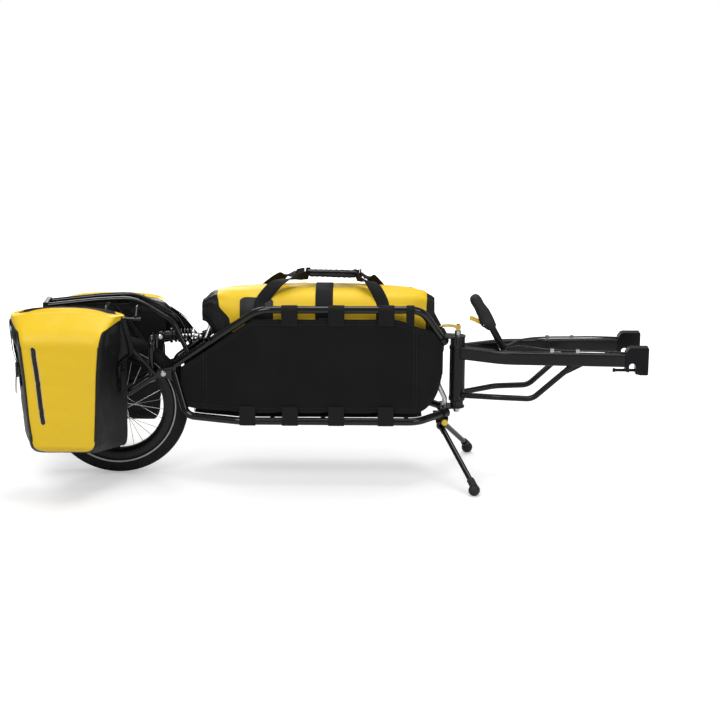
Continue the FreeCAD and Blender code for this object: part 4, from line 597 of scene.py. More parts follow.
def floor_sheet():
    loops = []
    for i in range(91):
        x = lerp(-0.377, 0.253, i / 90)
        half = plan(x, False) - 0.0142
        top_pts, low_pts = [], []
        for j in range(31):
            s = 2 * j / 30 - 1
            sag = 0.0022 * (1 - s * s)
            z = 0.1963 + 0.0008 * wrinkle((x, s * half, 0), 14.0, 2.2) + (0.0006 - sag * 0.4)
            top_pts.append(V(x, s * half, z))
            low_pts.append(V(x, s * half, z - 0.0018))
        loops.append(top_pts + low_pts[::-1])
    sheet = loft("sling_floor_sheet", loops, [nylon], slot="sling_cloth")
    wall = []
    for i in range(21):
        z = lerp(0.197, 0.3155, i / 20)
        t = i / 20
        half = lerp(plan(-0.378, False) - 0.0142, plan(-0.378, True) - 0.0052, t) - 0.0004
        a = [V(-0.3785 + 0.0012 * sin(3 * s + z * 30), s * half, z) for s in [k / 10 - 1 for k in range(21)]]
        wall.append(a + [p + V(0.0018, 0, 0) for p in a[::-1]])
    back = loft("sling_rear_wall", wall, [nylon], slot="sling_cloth")
    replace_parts(sheet, "sling_floor")
    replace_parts(back, "sling_floor")


floor_sheet()

BAND = 0.044


def band_path(side, x, top):
    """Section of a band in the YZ plane: down one face of the cloth, round the rail and back."""
    y0 = side * plan(x, top)
    rail = RAIL_TOP if top else RAIL_LOW
    d = 1 if top else -1
    r = TUBE + 0.0016
    tip = 0.456 if top else 0.229
    outer_tip = V(0, y0 + side * 0.0006, tip)
    pts = [outer_tip]
    inner_y = -0.0062 if top else -r
    inner_z = tip if top else 0.1935
    inner_tip = V(0, y0 + side * inner_y, inner_z)
    steps = 26
    for k in range(1, 7):
        t = k / 7
        pts.append(outer_tip.lerp(V(0, y0 + side * r, rail), smooth(t) * 0.5 + t * 0.5))
    for k in range(steps + 1):
        a = pi * k / steps
        pts.append(V(0, y0 + side * r * cos(a), rail + d * r * sin(a)))
    for k in range(1, 8):
        t = k / 7
        pts.append(V(0, y0 - side * r, rail).lerp(inner_tip, t))
    return pts


def band(side, x, top, width):
    path = band_path(side, x, top)
    loops = []
    for i, p in enumerate(path):
        along = heading(path, i)
        out = V(0, along.z, -along.y)
        centre = V(0, side * plan(x, top), RAIL_TOP if top else RAIL_LOW)
        if out.dot(p - centre) < 0 and 6 < i < len(path) - 7:
            out = -out
        if i <= 6:
            out = V(0, side, 0) if out.y * side < 0 and abs(out.y) > 0.5 else out
        half = width / 2
        ring = []
        for s, h in ((-1.0, 0.0), (-0.94, 0.7), (-0.5, 0.86), (0.0, 0.9), (0.5, 0.86), (0.94, 0.7),
                     (1.0, 0.0),
                     (0.94, -0.7), (0.0, -0.8), (-0.94, -0.7)):
            slope = (plan(x + s * half, top) - plan(x, top)) * side
            ring.append(V(x + s * half, p.y + slope, p.z) + out * h * 0.0008)
        loops.append(ring)
    return loft_data(loops)


def box_stitch(bundle, corner, across, down, out):
    """Sewn box with its cross."""
    a, b, c, d = corner, corner + across, corner + across + down, corner + down
    for p, q in ((a, b), (b, c), (c, d), (d, a), (a, c), (b, d)):
        bundle.stitches([p, q], [out, out], 0.0036, 0.0026, 0.0004)


bands = Bundle()
for side in (-1, 1):
    stations = [(x, top, BAND) for x in BANDS for top in (True, False)]
    for x, top, width in stations + [(0.218, True, 0.022), (-0.227, False, BAND)]:
        bands.add(*band(side, x, top, width))
        if width < BAND:
            continue
        y = side * (plan(x, top) + 0.0014)
        z = 0.476 if top else 0.209
        box_stitch(sewing, V(x - 0.018, y, z), V(0.036, 0, 0), V(0, 0, -0.017 if top else 0.017),
                   V(0, side, 0))
band_obj = bands.finish("sling_bands_sewn", strap_mat, slot="webbing")
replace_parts(band_obj, "sling_bands")

# Duffel

DUF = [(0.0, 0.30, 0.444, 0.500), (0.035, 0.48, 0.434, 0.526), (0.10, 0.66, 0.300, 0.538),
       (0.22, 0.93, 0.200, 0.545),
       (0.5, 1.0, 0.198, 0.548), (0.78, 0.97, 0.198, 0.546), (0.90, 0.70, 0.204, 0.540),
       (0.97, 0.42, 0.232, 0.530),
       (1.0, 0.26, 0.300, 0.508)]
FEET = (-0.190, 0.142)
BELT_X = -0.017
DUF_X0, DUF_X1, DUF_HALF = -0.355, 0.287, 0.104


def duffel_values(x):
    t = (x - DUF_X0) / (DUF_X1 - DUF_X0)
    return [line([(row[0], row[k]) for row in DUF], t) for k in (1, 2, 3)]


def duffel_point(x, angle, lift=0.0):
    """Point of the bag's skin at a station, angle counted from the left flank over the top."""
    w, low, top = [sum(duffel_values(x + dx)[k] for dx in (-0.012, 0, 0.012)) / 3 for k in range(3)]
    half = DUF_HALF * w - 0.0006
    mid = (low + top) / 2
    tall = (top - low) / 2 - 0.0006
    power = 2 / 3.3
    c, s = cos(angle), sin(angle)
    y = half * copysign(abs(c) ** power, c)
    z = tall * copysign(abs(s) ** power, s)
    out = V(0, c, s).normalized()
    end = min(x - DUF_X0, DUF_X1 - x)
    d = 0.0
    d -= 0.0022 * (0.5 + 0.5 * wrinkle((x * 2.0, y, z), 9.0, 3.3))
    d -= 0.0014 * (0.5 + 0.5 * wrinkle((x * 3.0, y * 0.7, z * 0.7), 30.0, 8.8))
    folds = 0.5 + 0.5 * sin(angle * 11.0 + 3.0 * wrinkle((x, y, z), 5.0, 6.0))
    d -= 0.0065 * folds * exp(-max(end, 0.0) / 0.045)
    belt = (x - BELT_X) / 0.030
    d -= 0.0022 * exp(-belt * belt)
    for root in FEET:
        if s > 0.1:
            q = ((x - root) / 0.05) ** 2 + ((s - 0.75) / 0.35) ** 2
            d -= 0.004 * exp(-q)
    ridge = abs(wrinkle((x * 1.3, y * 0.5, z), 12.0, 12.5))
    d -= 0.0020 * max(0.0, 1 - ridge * 6.0) * smooth((0.16 - end) / 0.16)
    return V(x, 0, mid) + V(0, y, z) + out * (d + lift)


def rear_edge(z):
    """Where the black rear end begins, curving back down the flank."""
    return line([(0.40, -0.262), (0.46, -0.276), (0.50, -0.306), (0.53, -0.312), (0.56, -0.296)], z, smooth)


def front_edge(z):
    return line([(0.20, 0.250), (0.45, 0.262), (0.54, 0.266)], z, smooth)


def duffel():
    loops = []
    steps, around = 150, 128
    for i in range(steps + 1):
        t = i / steps
        x = lerp(DUF_X0, DUF_X1, t)
        loops.append([duffel_point(x, 2 * pi * k / around) for k in range(around)])
    verts, faces, uvs = loft_data(loops)
    tones = [max(rear_edge(v.z) - v.x, v.x - front_edge(v.z)) for v in verts]
    bag = make("duffel_bag", verts, faces, [two_tone], uvs, tones, sharp=60.0, slot="bag_yellow")
    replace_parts(bag, "duffel_body")
    for side in (-1, 1):
        loops = []
        for i in range(25):
            x = -0.248 + 0.092 * i / 24
            shrink = 1 - 0.20 * abs(2 * i / 24 - 1) ** 6
            angles = [pi / 2 + side * (-1.30 + 0.72 * shrink * k / 20) for k in range(21)]
            loops.append([duffel_point(x, a, 0.0010) for a in angles]
                         + [duffel_point(x, a, 0.0001) for a in reversed(angles)])
        loft("duffel_patch_" + ("right" if side < 0 else "left"), loops, [grey_bag], slot="webbing")
    return bag


bag = duffel()


def ribbon_loops(path, across, outward, width, thick, camber=0.0):
    loops = []
    for p, a, o in zip(path, across, outward):
        a = Vector(a).normalized()
        o = Vector(o).normalized()
        ring = []
        for s, h in ((-1.0, 0.0), (-0.95, 0.8), (-0.5, 1.0), (0.0, 1.0), (0.5, 1.0), (0.95, 0.8), (1.0, 0.0),
                     (0.95, -0.8), (0.0, -1.0), (-0.95, -0.8)):
            ring.append(Vector(p) + a * s * width / 2 + o * (h * thick / 2 - camber * s * s))
        loops.append(ring)
    return loops


def bezier(points, n):
    """Catmull-Rom curve through points."""
    out = []
    pts = [points[0]] + list(points) + [points[-1]]
    for i in range(1, len(pts) - 2):
        p0, p1, p2, p3 = (Vector(q) for q in pts[i - 1:i + 3])
        for k in range(n):
            t = k / n
            out.append(0.5 * ((2 * p1) + (p2 - p0) * t + (2 * p0 - 5 * p1 + 4 * p2 - p3) * t * t
                              + (-p0 + 3 * p1 - 3 * p2 + p3) * t ** 3))
    out.append(Vector(pts[-2]))
    return out


GRIP_Z = 0.579


def handle_leg(side, foot, grip, tag):
    """Webbing from its sewn root on the flank, over the shoulder, twisting in to the grip."""
    root = [duffel_point(foot, pi / 2 - side * a, 0.0021) for a in (1.45, 1.2, 0.95, 0.75)]
    reach = grip - foot
    high = 0.0 if reach > 0 else 0.004
    inward = 1.0 if side < 0 else 0.55
    lift = [V(foot + reach * 0.26, side * 0.060 * inward, 0.553 - high),
            V(foot + reach * 0.50, side * 0.044 * inward, 0.568 - high),
            V(foot + reach * 0.74, side * 0.027 * inward, 0.5735 - high),
            V(foot + reach * 0.90, side * 0.016, 0.575 - high), V(grip, side * 0.010, 0.5755 - high)]
    path = bezier(root + lift, 9)
    n = len(path)
    across, outward = [], []
    for i in range(n):
        along = heading(path, i)
        t = i / (n - 1)
        flat = V(1, 0, 0) - along * along.x
        if flat.length < 0.2:
            flat = V(0, -side, 0.2)
        tilt = smooth((t - 0.40) / 0.5) * radians(62 if reach > 0 else -62) * side
        flat.normalize()
        up = along.cross(flat)
        flat_turned = flat * cos(tilt) + up * sin(tilt)
        out = along.cross(flat_turned)
        if out.dot(V(0, side * (1 - t), 0.4)) < 0:
            out = -out
        across.append(flat_turned)
        outward.append(out)
    obj = loft("handle_leg_" + tag, ribbon_loops(path, across, outward, 0.034, 0.0019, 0.0005), [strap_mat],
               slot="webbing")
    for k in (2, 12):
        c = path[k] + outward[k] * 0.0010
        down = (path[k + 6] - path[k]) * 0.8
        box_stitch(sewing, c - across[k] * 0.013, across[k] * 0.026, down, outward[k])
    return obj


legs = []
for side, near in ((-1, "right"), (1, "left")):
    for foot, grip, end in ((FEET[0], -0.060, "rear"), (FEET[1], 0.068, "front")):
        legs.append(handle_leg(side, foot, grip, near + "_" + end))


def belt():
    """Centre strap over the bag."""
    path = [duffel_point(BELT_X, pi / 2 - 2.0 + 4.0 * k / 90, 0.0022) for k in range(91)]
    across = [(1, 0, 0)] * 91
    outward = []
    for i in range(91):
        out = heading(path, i).cross(V(1, 0, 0))
        if out.dot(path[i] - V(BELT_X, 0, 0.37)) < 0:
            out = -out
        outward.append(out)
    obj = loft("duffel_belt", ribbon_loops(path, across, outward, 0.048, 0.0018), [strap_mat], slot="webbing")
    for s in (-0.020, 0.020):
        row = [p + V(s, 0, 0) + Vector(o).normalized() * 0.0010 for p, o in zip(path, outward)]
        sewing.stitches(row, outward)
    return obj


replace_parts(belt(), "duffel_straps")
for leg in legs:
    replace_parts(leg, "duffel_straps")


def grip_wrap():
    loops = []
    around = 40
    for i in range(61):
        t = i / 60
        x = lerp(-0.0650, 0.0720, t)
        end = min(t, 1 - t) * 0.137
        swell = 1 - exp(-end / 0.0035) * 0.55
        w = 0.0255 * swell * (1 + 0.03 * sin(x * 90))
        h = (0.0082 + 0.0010 * t) * swell
        ring = []
        for k in range(around):
            a = 2 * pi * k / around
            c, s = cos(a), sin(a)
            crease = 0.0006 * wrinkle((x * 3, c * 0.02, s * 0.02), 40.0, 2.0) + 0.0005 * sin(x * 420 + 2 * c)
            y = (w + crease) * copysign(abs(c) ** 0.75, c)
            z = (h + crease) * copysign(abs(s) ** 0.85, s)
            ring.append(V(x, y, GRIP_Z + 0.0006 - 0.0030 * t + z - 0.10 * y * y / 0.05))
        loops.append(ring)
    pad = loft("grip_pad", loops, [black_bag], slot="webbing")
    lap = []
    for i in range(41):
        x = lerp(-0.060, 0.067, i / 40)
        lap.append([V(x, -0.014 + dy, GRIP_Z + 0.0090 - 0.0020 * i / 40 + dz) for dy, dz in
                    ((-0.009, -0.0012), (-0.0085, 0.0002), (0.0, 0.0009), (0.010, 0.0003), (0.0105, -0.001))])
    loft("grip_lap", lap, [black_bag], slot="webbing")
    for y in (-0.0215, -0.0055):
        rise = 0.0090 if y < -0.01 else 0.0099
        path = [V(lerp(-0.058, 0.065, i / 20), y, GRIP_Z + rise - 0.0020 * i / 20) for i in range(21)]
        sewing.stitches(path, [(0, 0, 1)] * 21)
    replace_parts(pad, "duffel_grip")


grip_wrap()

# Release cables, from the bridge along each arm to the hitch lock

CABLE = [(0.4905, 0.013, 0.3695), (0.5145, 0.024, 0.381), (0.5545, 0.052, 0.3829), (0.6095, 0.073, 0.3809),
         (0.6795, 0.0775, 0.3803), (0.7465, 0.080, 0.3811), (0.8092, 0.0845, 0.3777)]


def rounded_path(points, radii, steps=14):
    """Centre line of a bent tube: an arc of the given radius at each corner."""
    out = [Vector(points[0])]
    for i, radius in enumerate(radii):
        before, corner, after = (Vector(q) for q in points[i:i + 3])
        u, v = (before - corner).normalized(), (after - corner).normalized()
        half = u.angle(v) / 2
        centre = corner + (u + v).normalized() * radius / sin(half)
        start = corner + u * radius / tan(half) - centre
        end = corner + v * radius / tan(half) - centre
        turn = start.angle(end)
        out += [centre + (start * sin((1 - k / steps) * turn) + end * sin(k / steps * turn))
                / sin(turn) for k in range(steps + 1)]
    out.append(Vector(points[-1]))
    return out


def lower_tubes():
    """Lower braces of the fork with a gusset under each arm."""
    tubes = Bundle()
    for side in (-1, 1):
        route = [(0.3672, side * 0.0156, 0.2343), (0.4635, side * 0.058, 0.241),
                 (0.5585, side * 0.072, 0.241),
                 (0.6715, side * 0.079, 0.345)]
        tubes.cord(rounded_path(route, [0.120, 0.042]), 0.008, 28)
        gusset = [V(x, side * 0.0784 + dy, z) for dy in (-0.0015, 0.0015)
                  for x, z in ((0.6715, 0.3389), (0.6975, 0.3389), (0.6415, 0.3100))]
        tubes.add(gusset, [(0, 1, 2), (5, 4, 3), (0, 3, 4, 1), (1, 4, 5, 2), (2, 5, 3, 0)])
    obj = tubes.finish("fork_lower_braces", satin_paint, body="fork", slot="frame_black")
    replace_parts(obj, "fork_lower_tubes")


lower_tubes()


def release_cable(side, tag):
    curve = bpy.data.curves.new("release_cable_" + tag, "CURVE")
    curve.dimensions = "3D"
    curve.bevel_depth = 0.0025
    curve.bevel_resolution = 4
    curve.use_fill_caps = True
    spline = curve.splines.new("NURBS")
    spline.points.add(len(CABLE) - 1)
    for point, (x, y, z) in zip(spline.points, CABLE):
        point.co = (x, side * y, z, 1.0)
    spline.order_u = 3
    spline.use_endpoint_u = True
    spline.resolution_u = 16
    curve.materials.append(plastic)
    obj = place(curve.name, curve)
    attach(obj, "fork")
    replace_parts(obj, "release_cables")


release_cable(-1, "right")
release_cable(1, "left")

# Panniers

PAN = [(0.0, 0.62, 0.236, 0.160, 0.10), (0.05, 0.93, 0.262, 0.176, 0.02), (0.30, 1.0, 0.280, 0.192, 0.0),
       (0.62, 1.0, 0.300, 0.206, 0.0), (0.84, 0.97, 0.318, 0.222, 0.0), (0.93, 0.80, 0.326, 0.240, 0.0),
       (0.97, 0.62, 0.320, 0.262, 0.05), (1.0, 0.48, 0.304, 0.280, 0.12)]
PAN_BACK, PAN_DEEP = 0.111, 0.170
SIDES_N, CORNER_N = 22, 9


class Pannier:
    """Roll-top pannier: rings of a rounded trapezoid stacked from its bottom to its rolled top.

    fore is the back panel's least half width to the front, ears how far the rolled ends stand out."""

    def __init__(self, side, x_mid, low, top, fore, ears, tag):
        self.side, self.x_mid, self.low, self.top, self.tag = side, x_mid, low, top, tag
        self.fore, self.ears = fore, ears

    def share_at(self, z):
        return (z - self.low) / (self.top - self.low)

    def values(self, share):
        """Depth, back width, face width and inset at a share of the height, eased over the creases."""
        spread = 0.035 * min(1.0, (1 - share) / 0.05, share / 0.03 + 0.05)
        return [sum(line([(row[0], row[k]) for row in PAN], share + spread * d) for d in (-1, -0.5, 0, 0.5,
                                                                                          1)) / 5
                for k in (1, 2, 3, 4)]

    def ring(self, share, grow=0.0):
        depth, back_w, front_w, inset = self.values(share)
        near = PAN_BACK + PAN_DEEP * inset - grow
        far = PAN_BACK + PAN_DEEP * depth + grow
        z = lerp(self.low, self.top, share)
        corners = [V(-back_w / 2 - grow, near, 0), V(max(back_w / 2, self.fore) + grow, near, 0),
                   V(front_w / 2 + grow, far, 0), V(-front_w / 2 - grow, far, 0)]
        limit = (far - near) * 0.3
        radii = [min(0.008, limit), min(0.008, limit), min(0.026, limit), min(0.026, limit)]
        arcs = []
        for i in range(4):
            before = (corners[i - 1] - corners[i]).normalized()
            after = (corners[(i + 1) % 4] - corners[i]).normalized()
            turn = pi - before.angle(after)
            setback = radii[i] * tan(turn / 2)
            start = corners[i] + before * setback
            end = corners[i] + after * setback
            mid = corners[i] + (before + after).normalized() * radii[i] / cos(turn / 2)
            a0 = atan2(start.y - mid.y, start.x - mid.x)
            a1 = atan2(end.y - mid.y, end.x - mid.x)
            if a1 < a0:
                a1 += 2 * pi
            arcs.append([V(mid.x + radii[i] * cos(lerp(a0, a1, k / CORNER_N)),
                                 mid.y + radii[i] * sin(lerp(a0, a1, k / CORNER_N)),
                           0) for k in range(CORNER_N + 1)])
        pts = []
        for i in range(4):
            pts += arcs[i]
            nxt = arcs[(i + 1) % 4][0]
            pts += [arcs[i][-1].lerp(nxt, k / SIDES_N) for k in range(1, SIDES_N)]
        centre = V(0, (near + far) / 2, 0)
        out = []
        for p in pts:
            d = 0.0
            n = (p - centre).normalized()
            q = V(p.x, p.y, z)
            d -= 0.0034 * (0.5 + 0.5 * wrinkle(q, 7.0, 5.0 + self.side))
            d -= 0.0010 * (0.5 + 0.5 * wrinkle(q, 32.0, 2.0))
            crease = abs(wrinkle((p.x * 0.6, p.y, z * 1.4), 11.0, 21.0 + self.side))
            d -= 0.0016 * max(0.0, 1 - crease * 7.0)
            gusset = abs(n.x) > 0.72 and share < 0.86
            if gusset:
                bow = exp(-((p.y - centre.y) / 0.05) ** 2) * sin(pi * min(1, share / 0.86))
                d -= 0.010 * bow * (0.7 + 0.3 * wrinkle(q, 12.0, 7.0))
            if share > 0.82:
                d -= 0.0022 * (0.5 + 0.5 * sin(p.x * 95 + 4 * wrinkle(q, 8.0, 1.0))) * (share - 0.82) / 0.18
            droop = 0.018 * min(1.2, abs(p.x) / 0.15) ** 3 * smooth((share - 0.78) / 0.22)
            out.append(V(self.x_mid + p.x, self.side * p.y, z - droop) + V(n.x, self.side * n.y, 0) * d)
        return out

    def face(self, share, across, lift=0.0):
        """Point on the outer face; across runs from 0 at the rear to 1 at the front."""
        ring = self.ring(share)
        start = 2 * (SIDES_N + CORNER_N) + CORNER_N
        i = (1 - across) * SIDES_N
        a = int(min(SIDES_N - 1, int(i)))
        p = ring[start + a].lerp(ring[(start + a + 1) % len(ring)], i - a)
        return p + V(0, self.side * lift, 0)

    def face_half(self, share, ring_half):
        """Half the yellow panel's width along the ring; it spreads over the gussets at the rolled top."""
        return ring_half + 0.004 + 0.085 * smooth((share - 0.90) / 0.09)

    def tone(self, share, run, ring_half, z):
        """Signed distance from the yellow panel's edge, above zero outside it."""
        half = self.face_half(share, ring_half)
        low = self.low + 0.012
        corner = 0.034
        across, down = abs(run) - (half - corner), low + corner - z
        if across > 0 and down > 0:
            return hypot(across, down) - corner
        return max(abs(run) - half, low - z)

    def ring_tones(self, ring, share):
        """Tone of each point of a ring, from its run round the ring from the middle of the face."""
        n = len(ring)
        seg = SIDES_N + CORNER_N
        middle = 2 * seg + CORNER_N + SIDES_N // 2
        front = self.values(share)[2]
        tones = [0.0] * n
        for way in (1, -1):
            run = 0.0
            for k in range(0, n // 2 + 1):
                j = (middle + way * k) % n
                if k:
                    run += (ring[j] - ring[(j - way) % n]).length
                tones[j] = self.tone(share, run, front / 2 - 0.010, ring[j].z)
        if self.side > 0:
            back = PAN_BACK + PAN_DEEP * self.values(share)[3] + 0.016
            tones = [max(tone, back - abs(p.y)) for tone, p in zip(tones, ring)]
        return tones

    def build(self):
        shares = [0.0, 0.008, 0.018, 0.03] + [0.05 + 0.95 * k / 84 for k in range(85)]
        loops = [self.ring(s) for s in shares]
        tones = []
        for loop, share in zip(loops, shares):
            tones += self.ring_tones(loop, share)
        verts, faces, uvs = loft_data(loops, cap=False)
        n = len(loops[0])
        for edge, rise, first in ((loops[-1], 0.003, (len(loops) - 1) * n), (loops[0], -0.003, 0)):
            centre = sum(edge, Vector()) / n
            before = first
            steps = 7
            for step in range(1, steps + 1):
                t = step / (steps + 0.6)
                start = len(verts)
                for k, p in enumerate(edge):
                    q = p.lerp(centre, t) + V(0, 0, rise * sin(t * pi / 2))
                    verts.append(q)
                    uvs.append((q.x, q.y))
                    near = PAN_BACK + PAN_DEEP * (0.17 if self.side < 0 else 0.40)
                    tones.append(near - abs(q.y) if rise > 0 else 0.01)
                for k in range(n):
                    j = (k + 1) % n
                    quad = (before + k, before + j, start + j, start + k)
                    faces.append(quad if rise > 0 else quad[::-1])
                before = start
            lid = tuple(before + k for k in range(n))
            faces.append(lid if rise > 0 else lid[::-1])
        bag = make("pannier_bag_" + self.tag, verts, faces, [two_tone], uvs, tones, 50.0, slot="bag_yellow")
        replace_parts(bag, "pannier_" + self.tag)
        self.trim()

    def trim(self):
        """Piping along the yellow panel's edge, the welded pocket, straps and folds."""
        piping = Bundle()
        for way in (1, -1):
            edge = []
            for k in range(61):
                share = lerp(0.125, 0.80, k / 60)
                edge.append(self.on_ring(share,
                                         way * self.face_half(share, self.values(share)[2] / 2 - 0.010)))
            piping.cord(edge, 0.0017, 8)
        piping.finish("pannier_piping_" + self.tag, black_bag, slot="webbing")
        self.zip()
        self.side_straps()
        self.gusset_folds()
        for end, turn in (("fore", 1), ("aft", -1)):
            self.ear(end, turn)

    def gusset_index(self, turn):
        """Ring index of the middle of the fore or aft gusset."""
        seg = SIDES_N + CORNER_N
        return seg + CORNER_N + 5 if turn > 0 else 4 * seg - 5

    def stand(self, share, turn):
        """How far an ear stands out of its gusset at a share of the height."""
        s = (1.0 - share) / 0.38
        return self.ears[0 if turn > 0 else 1] * max(0.0, min(s / 0.85, (1 - s) / 0.15))

    def ear(self, end, turn):
        """Rolled end of the top, flattened and strapped down against its gusset."""
        rows = []
        for k in range(41):
            share = 1.0 - 0.38 * (0.02 + 0.96 * k / 40)
            root = self.ring(share)[self.gusset_index(turn)] - V(turn * 0.012, 0, 0)
            half = (self.stand(share, turn) + 0.012) / 2
            thick = 0.006 + 0.004 * sin(pi * k / 40)
            row = []
            for m in range(20):
                a = 2 * pi * m / 20
                crease = 1 + 0.12 * wrinkle((k * 0.05, m * 0.3, self.x_mid), 3.0, 5.0)
                row.append(root + V(turn * half * (1 + cos(a)), thick * sin(a) * crease, 0))
            rows.append(row)
        loft("pannier_ear_%s_%s" % (end, self.tag), rows, [black_bag], slot="webbing")

    def on_ring(self, share, run, lift=0.0006):
        """Point at a run round the ring from the middle of the face, positive to the front."""
        ring = self.ring(share, lift)
        n = len(ring)
        j = 2 * (SIDES_N + CORNER_N) + CORNER_N + SIDES_N // 2
        way = -1 if run > 0 else 1
        left = abs(run)
        while True:
            step = (ring[(j + way) % n] - ring[j % n]).length
            if step > left:
                return ring[j % n].lerp(ring[(j + way) % n], left / step)
            left -= step
            j += way

    def gusset_folds(self):
        """Black flap of each gusset folded over on itself under the rolled top."""
        for tag, way in (("fore", 1), ("aft", -1)):
            rows = []
            for k in range(25):
                share = lerp(0.93, 0.70, k / 24)
                base = self.values(share)[2] / 2 - 0.010
                wide = 0.5 + 0.5 * sin(pi * k / 24)
                first, last = 0.020 + 0.030 * k / 24, 0.098
                thick = 0.0015 + 0.0085 * sin(pi * min(1, k / 16)) ** 0.7 * (1 if k < 16 else 0.25)
                out = V(way, self.side * 0.2, 0).normalized()
                row = []
                for m in range(13):
                    t = m / 12
                    p = self.on_ring(share, way * (base + lerp(first, last, t)), 0.0)
                    bulge = thick * sin(pi * t) ** 0.5 * wide
                    row.append(p + out * bulge)
                back = [self.on_ring(share, way * (base + lerp(first, last, m / 12)),
                                     -0.002) for m in range(12, -1, -1)]
                rows.append(row + back)
            loft("pannier_gusset_%s_%s" % (tag, self.tag), rows, [black_bag], slot="webbing")

    def zip(self):
        """Welded pocket zip on the outer face, with its puller."""
        weld, tape, teeth = Bundle(), Bundle(), Bundle()
        s0, s1 = self.share_at(0.434), self.share_at(0.221)
        centre = [(lerp(s1, s0, k / 60), lerp(0.16, 0.10, k / 60)) for k in range(61)]
        for bundle, half, lift in ((weld, 0.0100, 0.0009), (tape, 0.0064, 0.0016)):
            loops = []
            for k, (share, across) in enumerate(centre):
                end = min(k, 60 - k) / 60 * 0.215
                w = half * sqrt(max(0.02, 1 - (1 - min(1, end / half)) ** 2))
                p = self.face(share, across)
                ring = []
                for dx, h in ((-1, -0.0006), (-0.9, lift), (0, lift), (0.9, lift), (1, -0.0006)):
                    q = self.face(share, across + dx * w / 0.2)
                    ring.append(V(p.x + dx * w, q.y + self.side * h, p.z))
                loops.append(ring)
            bundle.add(*loft_data(loops))
        path = [self.face(s, a, 0.0018) for s, a in centre[3:-3]]
        for i in range(len(path) - 1):
            for t in (0.0, 0.25, 0.5, 0.75):
                p = path[i].lerp(path[i + 1], t)
                teeth.block(p, V(0.0019, 0, 0), V(0, 0.0007, 0), V(0, 0, 0.00028))
        top = path[-1]
        teeth.block(top + V(0, self.side * 0.0012, -0.002), V(0.0042, 0, 0), V(0, 0.0016, 0),
                    V(0, 0, 0.006))
        pull = [top + V(0.001, self.side * 0.0032, -0.004 - 0.004 * k) for k in range(8)]
        teeth.add(*loft_data(ribbon_loops(pull, [(1, 0, 0)] * 8, [(0, self.side, 0)] * 8, 0.0065, 0.0022)))
        weld.finish("zip_weld_" + self.tag, pale_weld, slot="bag_yellow")
        tape.finish("zip_tape_" + self.tag, zip_mat, slot="webbing")
        teeth.finish("zip_teeth_" + self.tag, zip_mat, slot="black_plastic")

    def side_straps(self):
        """Strap down each gusset from the rolled top, with its ladder buckle."""
        for tag, turn in (("fore", 1), ("aft", -1)):
            out = V(turn * 0.96, self.side * 0.27, 0).normalized()
            path = []
            for k in range(41):
                share = lerp(0.955, 0.44, k / 40)
                p = self.ring(share)[self.gusset_index(turn)]
                slack = 0.002 * sin(pi * k / 40)
                path.append(p + out * (0.0018 + slack) + V(turn * self.stand(share, turn), 0, 0))
            across = [V(out.y, -out.x, 0)] * 41
            loft("pannier_strap_%s_%s" % (tag, self.tag),
                 ribbon_loops(path, across, [out] * 41, 0.025, 0.0017), [strap_mat], slot="webbing")
            frame_parts = Bundle()
            c = path[31] + out * 0.0030
            a = across[0]
            up = V(0, 0, 1)
            for dz in (-0.013, -0.003, 0.007, 0.016):
                frame_parts.block(c + up * dz, a * 0.0165, up * 0.0021, out * 0.0022)
            for s in (-1, 1):
                frame_parts.block(c + a * s * 0.0158 + up * 0.0015, a * 0.0022, up * 0.0165, out * 0.0026)
            tail = [c + out * (0.0015 + 0.003 * sin(k / 5.0)) + up * (-0.006 - 0.007 * k) for k in range(9)]
            frame_parts.finish("pannier_buckle_%s_%s" % (tag, self.tag), plastic, slot="black_plastic")
            loft("pannier_tail_%s_%s" % (tag, self.tag),
                 ribbon_loops(tail, [a] * 9, [out] * 9, 0.0245, 0.0016), [strap_mat], slot="webbing")


Pannier(-1, -0.7122, 0.123, 0.511, 0.163, (0.030, 0.004), "right").build()
Pannier(1, -0.6222, 0.115, 0.478, 0.100, (0.106, 0.004), "left").build()

sewing.finish("stitching", thread_mat, slot="webbing")

# Stage


def floor_material():
    """Pale floor that shows near white and keeps the object's shadow."""
    s = Shade("floor_white", (0.80, 0.80, 0.80), 0.65, specular=0.2)
    s.vary_rough(3.0, 0.6, 0.7)
    out = s.tree.nodes["Material Output"]
    glow = s.add("Emission")
    glow.inputs["Color"].default_value = (1, 1, 1, 1)
    far = s.add("VectorMath", "LENGTH")
    s.link(s.coords("Object"), far.inputs[0])
    s.link(s.remap(far.outputs["Value"], 0.8, 2.6, 0.34, 0.80), glow.inputs["Strength"])
    both = s.add("AddShader")
    s.link(s.bsdf.outputs[0], both.inputs[0])
    s.link(glow.outputs[0], both.inputs[1])
    path = s.add("LightPath")
    mix = s.add("MixShader")
    s.link(path.outputs["Is Camera Ray"], mix.inputs[0])
    s.link(s.bsdf.outputs[0], mix.inputs[1])
    s.link(both.outputs[0], mix.inputs[2])
    s.link(mix.outputs[0], out.inputs["Surface"])
    return s.mat


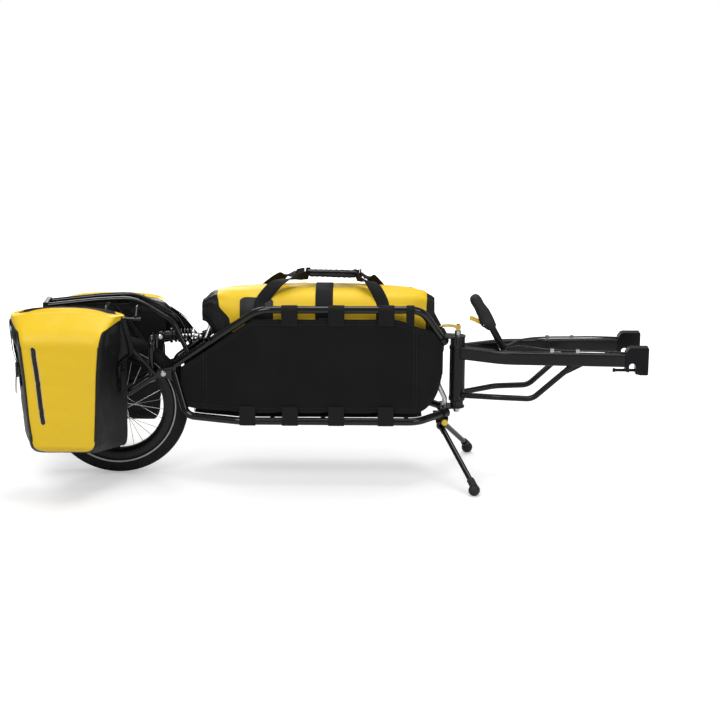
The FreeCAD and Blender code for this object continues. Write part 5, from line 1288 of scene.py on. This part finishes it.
def stage():
    floor_size = 9.0
    me = bpy.data.meshes.new("floor")
    me.from_pydata([(-floor_size, -floor_size, 0), (floor_size, -floor_size, 0), (floor_size, floor_size, 0),
                    (-floor_size, floor_size, 0)], [], [(0, 1, 2, 3)])
    floor = place("floor", me)
    me.materials.append(floor_material())
    floor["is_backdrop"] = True
    scene = bpy.context.scene
    world = bpy.data.worlds.new("studio")
    scene.world = world
    world.use_nodes = True
    tree = world.node_tree
    tree.nodes.clear()
    mix = tree.nodes.new("ShaderNodeMixShader")
    for i, strength in ((1, 0.30), (2, 1.0)):
        light = tree.nodes.new("ShaderNodeBackground")
        light.inputs["Color"].default_value = (1, 1, 1, 1)
        light.inputs["Strength"].default_value = strength
        tree.links.new(light.outputs[0], mix.inputs[i])
    path = tree.nodes.new("ShaderNodeLightPath")
    tree.links.new(path.outputs["Is Camera Ray"], mix.inputs[0])
    out = tree.nodes.new("ShaderNodeOutputWorld")
    tree.links.new(mix.outputs[0], out.inputs["Surface"])
    for name, spot, aim, size, watts in (
            ("key", (-1.6, -3.2, 3.6), (0, 0, 0.3), 2.2, 78.0),
                                          ("fill", (2.8, -2.6, 2.2), (0.2, 0, 0.3), 2.0, 32.0),
            ("top", (0.2, 0.4, 3.4), (0, 0, 0.2), 2.4, 60.0),
                                          ("rim", (-1.0, 3.0, 1.8), (0, 0, 0.4), 1.6, 32.0)):
        lamp = bpy.data.lights.new(name, "AREA")
        lamp.shape = "DISK"
        lamp.size = size
        lamp.energy = watts
        obj = place(name, lamp)
        obj.location = spot
        obj.rotation_euler = (Vector(aim) - Vector(spot)).to_track_quat("-Z", "Y").to_euler()
        obj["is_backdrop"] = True
    scene.view_settings.view_transform = "Standard"
    cam = bpy.data.cameras.new("camera")
    cam.lens = 1853.7 / 720 * 36.0
    cam.sensor_width = 36.0
    obj = place("camera", cam)
    yaw, pitch, roll = radians(0.16), radians(15.16), radians(0.29)
    ahead = V(-sin(yaw) * cos(pitch), cos(yaw) * cos(pitch), -sin(pitch))
    right = V(cos(yaw), sin(yaw), 0)
    up = right.cross(ahead)
    r = right * cos(roll) + up * sin(roll)
    u = -right * sin(roll) + up * cos(roll)
    spot = (0.0955, -5.0, 1.685)
    obj.matrix_world = Matrix([(r[i], u[i], -ahead[i], spot[i]) for i in range(3)] + [(0, 0, 0, 1)])
    scene.camera = obj
    obj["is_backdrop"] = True


stage()

{"cad": first_bounds, "visual": plain(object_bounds())}
